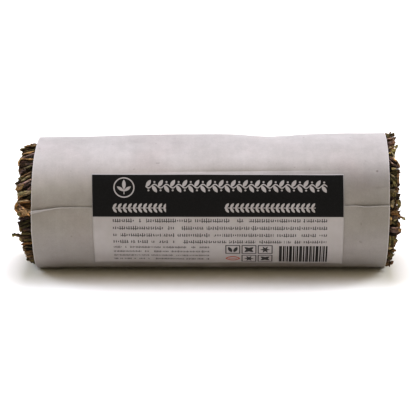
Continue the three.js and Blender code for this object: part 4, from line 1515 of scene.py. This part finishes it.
def binding_thread(thread):
    """The thread as a heap: three plies twisted into one, and loose fibres at its frayed end.

    The ply's radius at a way round it is r (0.82 + 0.18 |cos(1.5 (way - twist))|).
    """
    heap = Heap()
    path = thread_path()
    step = np.linalg.norm(np.diff(path, axis=0), axis=1)
    length = np.concatenate([[0], np.cumsum(step)])
    sides = 12
    way = 2 * np.pi * np.arange(sides) / sides
    twist = length[:, None] * (2 * np.pi / (3.2 * MM))
    radius = thread.radius * (0.82 + 0.18 * np.abs(np.cos(1.5 * (way - twist))))
    fray = smooth(length, length[-1] - 2.5 * MM, length[-1])[:, None]
    points, walls, caps = tube(path, from_axis(path, path[:, 0]), radius * (1 - 0.35 * fray))
    colour = np.array(thread.colour)
    heap.add(points, walls, colour, caps)
    start = path[-1]
    _, forward, upward = from_axis(start, start[0])
    base, out = np.degrees(np.arctan2(upward, -forward)), np.hypot(forward, upward)
    for k in range(thread.fibres):
        q = np.linspace(0, 1, 16)
        far = lerp(0.9, 2.5, draw(k, 1, 1)) * MM
        lean = lerp(-1.0, 0.9, draw(k, 1, 2)) * MM
        loop = 2 * np.pi * lerp(0.25, 0.75, draw(k, 1, 3)) * (1 if draw(k, 1, 4) > 0.4 else -1)
        x = start[0] - far * np.sin(np.abs(loop) * q) / max(np.abs(loop) / 2.2, 0.6)
        sweep = lean * q + far * 0.16 * np.sign(loop) * (1 - np.cos(loop * q))
        sweep = sweep + 0.25 * MM * noise(q * 4, k * 3.7, 2.0) * q
        angle = base + np.degrees(sweep / out)
        lift = 0.5 * MM * draw(k, 1, 5) * np.sin(np.pi * q) - 0.25 * MM * q
        fibre = around(x, angle, out + lift)
        thin = 0.14 * MM * lerp(0.7, 1.3, draw(k, 1, 6)) * (1 - 0.6 * q)
        outwards = from_axis(fibre, start[0])
        points, walls, caps = tube(fibre, outwards, np.repeat(thin[:, None], 6, 1))
        heap.add(points, walls, colour * lerp(0.7, 1.4, draw(k, 1, 7)), caps)
    return heap


class SAGE_OT_binding_thread(bpy.types.Operator):
    """Wind the cotton thread round the bundle and fray its end"""

    bl_idname = "sage.binding_thread"
    bl_label = "Binding thread"

    def execute(self, context):
        thread = context.scene.sage_thread
        piece = binding_thread(thread).piece("thread", cotton(thread))
        keep_place(piece, "binding_thread")
        return {"FINISHED"}


# ---------------------------------------------------------------------------------------------
# The stage
# ---------------------------------------------------------------------------------------------


class SageStage(bpy.types.PropertyGroup):
    elevation: a_number(
        "Elevation", "Height of the camera over the horizon, in degrees", math.degrees(VIEW_TILT)
    )
    distance: a_length("Distance", "From the camera to the bunch's axis", VIEW_DISTANCE)
    width: a_length("Width", "What the frame's width takes in at the bunch's axis", VIEW_WIDTH)
    aim: FloatVectorProperty(
        name="Aim", description="The point in the middle of the frame", size=3,
        default=tuple(VIEW_AIM), subtype="XYZ", unit="LENGTH",
    )
    floor: a_colour("Floor", "The floor's colour", (0.93, 0.905, 0.87))
    power: a_number("Power", "Strength of all the lamps together", 1.0)
    ambient: a_number("Ambient", "Strength of the light from all round", 0.52)
    gamma: a_number("Gamma", "Under 1, the picture has more contrast", 0.85)


SENSOR = 36  # the camera's, in mm
FLOOR_HALF = 3.0
LAMP_AIM = 10 * MM  # the height that the lamps face
# Soft lamps: x, degrees from the front, distance from the X axis, size, watts and colour. Four make
# an arc over the bunch, and one stands to each side.
LAMPS = [
    (0, 65, 0.8, (0.32, 0.22), 0.4, (0.4, 0.5, 1.0)),
    (0, 80, 0.8, (0.32, 0.22), 1.3, (0.75, 0.8, 1.0)),
    (0, 95, 0.8, (0.32, 0.22), 2.5, (0.75, 0.82, 1.0)),
    (0, 110, 0.8, (0.32, 0.22), 1.7, (1.0, 0.9, 0.95)),
    (-0.62, 120, 0.5, (0.36, 0.36), 3.6, (0.75, 0.85, 1.0)),
    (0.62, 120, 0.5, (0.36, 0.36), 4.0, (0.85, 0.92, 1.0)),
]


def soft_light(name, place, size, power, colour):
    """An area light at a place, facing the bunch."""
    lamp = bpy.data.lights.new(name, "AREA")
    lamp.shape = "RECTANGLE"
    lamp.size, lamp.size_y = size
    lamp.energy = power
    lamp.color = colour
    light = bpy.data.objects.new(name, lamp)
    light.location = place
    way = Vector((0, 0, LAMP_AIM)) - Vector(place)
    light.rotation_euler = way.to_track_quat("-Z", "Y").to_euler()
    bpy.context.scene.collection.objects.link(light)


class SAGE_OT_stage(bpy.types.Operator):
    """Set the floor, the camera and the soft lights"""

    bl_idname = "sage.stage"
    bl_label = "Stage"

    def execute(self, context):
        stage, scene = context.scene.sage_stage, context.scene
        tilt = math.radians(stage.elevation)
        back = Vector((0, -math.cos(tilt), math.sin(tilt)))
        lens = bpy.data.cameras.new("camera")
        lens.sensor_width = SENSOR
        lens.lens = SENSOR * stage.distance / stage.width
        lens.clip_start, lens.clip_end = 0.05, 20
        camera = bpy.data.objects.new("camera", lens)
        camera.location = Vector(stage.aim) + back * stage.distance
        camera.rotation_euler = (-back).to_track_quat("-Z", "Y").to_euler()
        scene.collection.objects.link(camera)
        scene.camera = camera

        mesh = bpy.data.meshes.new("floor")
        corners = [(-1, -1), (1, -1), (1, 1), (-1, 1)]
        corners = [(FLOOR_HALF * x, FLOOR_HALF * y, 0) for x, y in corners]
        mesh.from_pydata(corners, [], [(0, 1, 2, 3)])
        finish = Finish("pale_floor", Roughness=0.9, Specular_IOR_Level=0.1)
        soft = finish.ramp(finish.grain(9, 2), 0.2, 0.8)
        shade = tuple(0.985 * c for c in stage.floor)
        finish.set(Base_Color=finish.mix(soft, shade, tuple(stage.floor)))
        mesh.materials.append(finish.material)
        floor = bpy.data.objects.new("floor", mesh)
        scene.collection.objects.link(floor)

        for number, (x, angle, distance, size, watts, colour) in enumerate(LAMPS):
            a = math.radians(angle)
            place = (x, -distance * math.cos(a), distance * math.sin(a))
            soft_light(f"lamp_{number}", place, size, watts * stage.power, colour)
        world = bpy.data.worlds.new("surround")
        scene.world = world
        world.use_nodes = True
        sky = world.node_tree.nodes["Background"]
        sky.inputs["Color"].default_value = (1, 0.88, 0.6, 1)
        sky.inputs["Strength"].default_value = stage.ambient
        scene.view_settings.view_transform = "Standard"
        scene.view_settings.gamma = stage.gamma
        return {"FINISHED"}


# ---------------------------------------------------------------------------------------------
# The add-on
# ---------------------------------------------------------------------------------------------


class SAGE_PT_bunch(bpy.types.Panel):
    """Lists the pieces of the bunch"""

    bl_label = "Sage Bunch"
    bl_idname = "SAGE_PT_bunch"
    bl_space_type = "VIEW_3D"
    bl_region_type = "UI"
    bl_category = "Sage Bunch"

    def draw(self, context):
        for name, _ in SETTINGS:
            box = self.layout.box()
            group = getattr(context.scene, name)
            for key in group.bl_rna.properties.keys():
                if key not in ("rna_type", "name"):
                    box.prop(group, key)
        for operator in OPERATORS:
            self.layout.operator(operator.bl_idname)


SETTINGS = [
    ("sage_stage", SageStage),
    ("sage_sleeve", SageSleeve),
    ("sage_label", SageLabel),
    ("sage_leaves", SageLeaves),
    ("sage_thread", SageThread),
]
OPERATORS = [
    SAGE_OT_stage,
    SAGE_OT_paper_sleeve,
    SAGE_OT_label,
    SAGE_OT_leafy_stems,
    SAGE_OT_binding_thread,
]


def register():
    for name, group in SETTINGS:
        bpy.utils.register_class(group)
        setattr(bpy.types.Scene, name, PointerProperty(type=group))
    for operator in OPERATORS:
        bpy.utils.register_class(operator)
    bpy.utils.register_class(SAGE_PT_bunch)


def unregister():
    bpy.utils.unregister_class(SAGE_PT_bunch)
    for operator in reversed(OPERATORS):
        bpy.utils.unregister_class(operator)
    for name, group in reversed(SETTINGS):
        delattr(bpy.types.Scene, name)
        bpy.utils.unregister_class(group)


def main():
    """Makes the stage and every piece."""
    register()
    bpy.ops.sage.stage()
    bpy.ops.sage.paper_sleeve()
    bpy.ops.sage.label()
    bpy.ops.sage.leafy_stems()
    bpy.ops.sage.binding_thread()


if __name__ == "__main__":
    main()
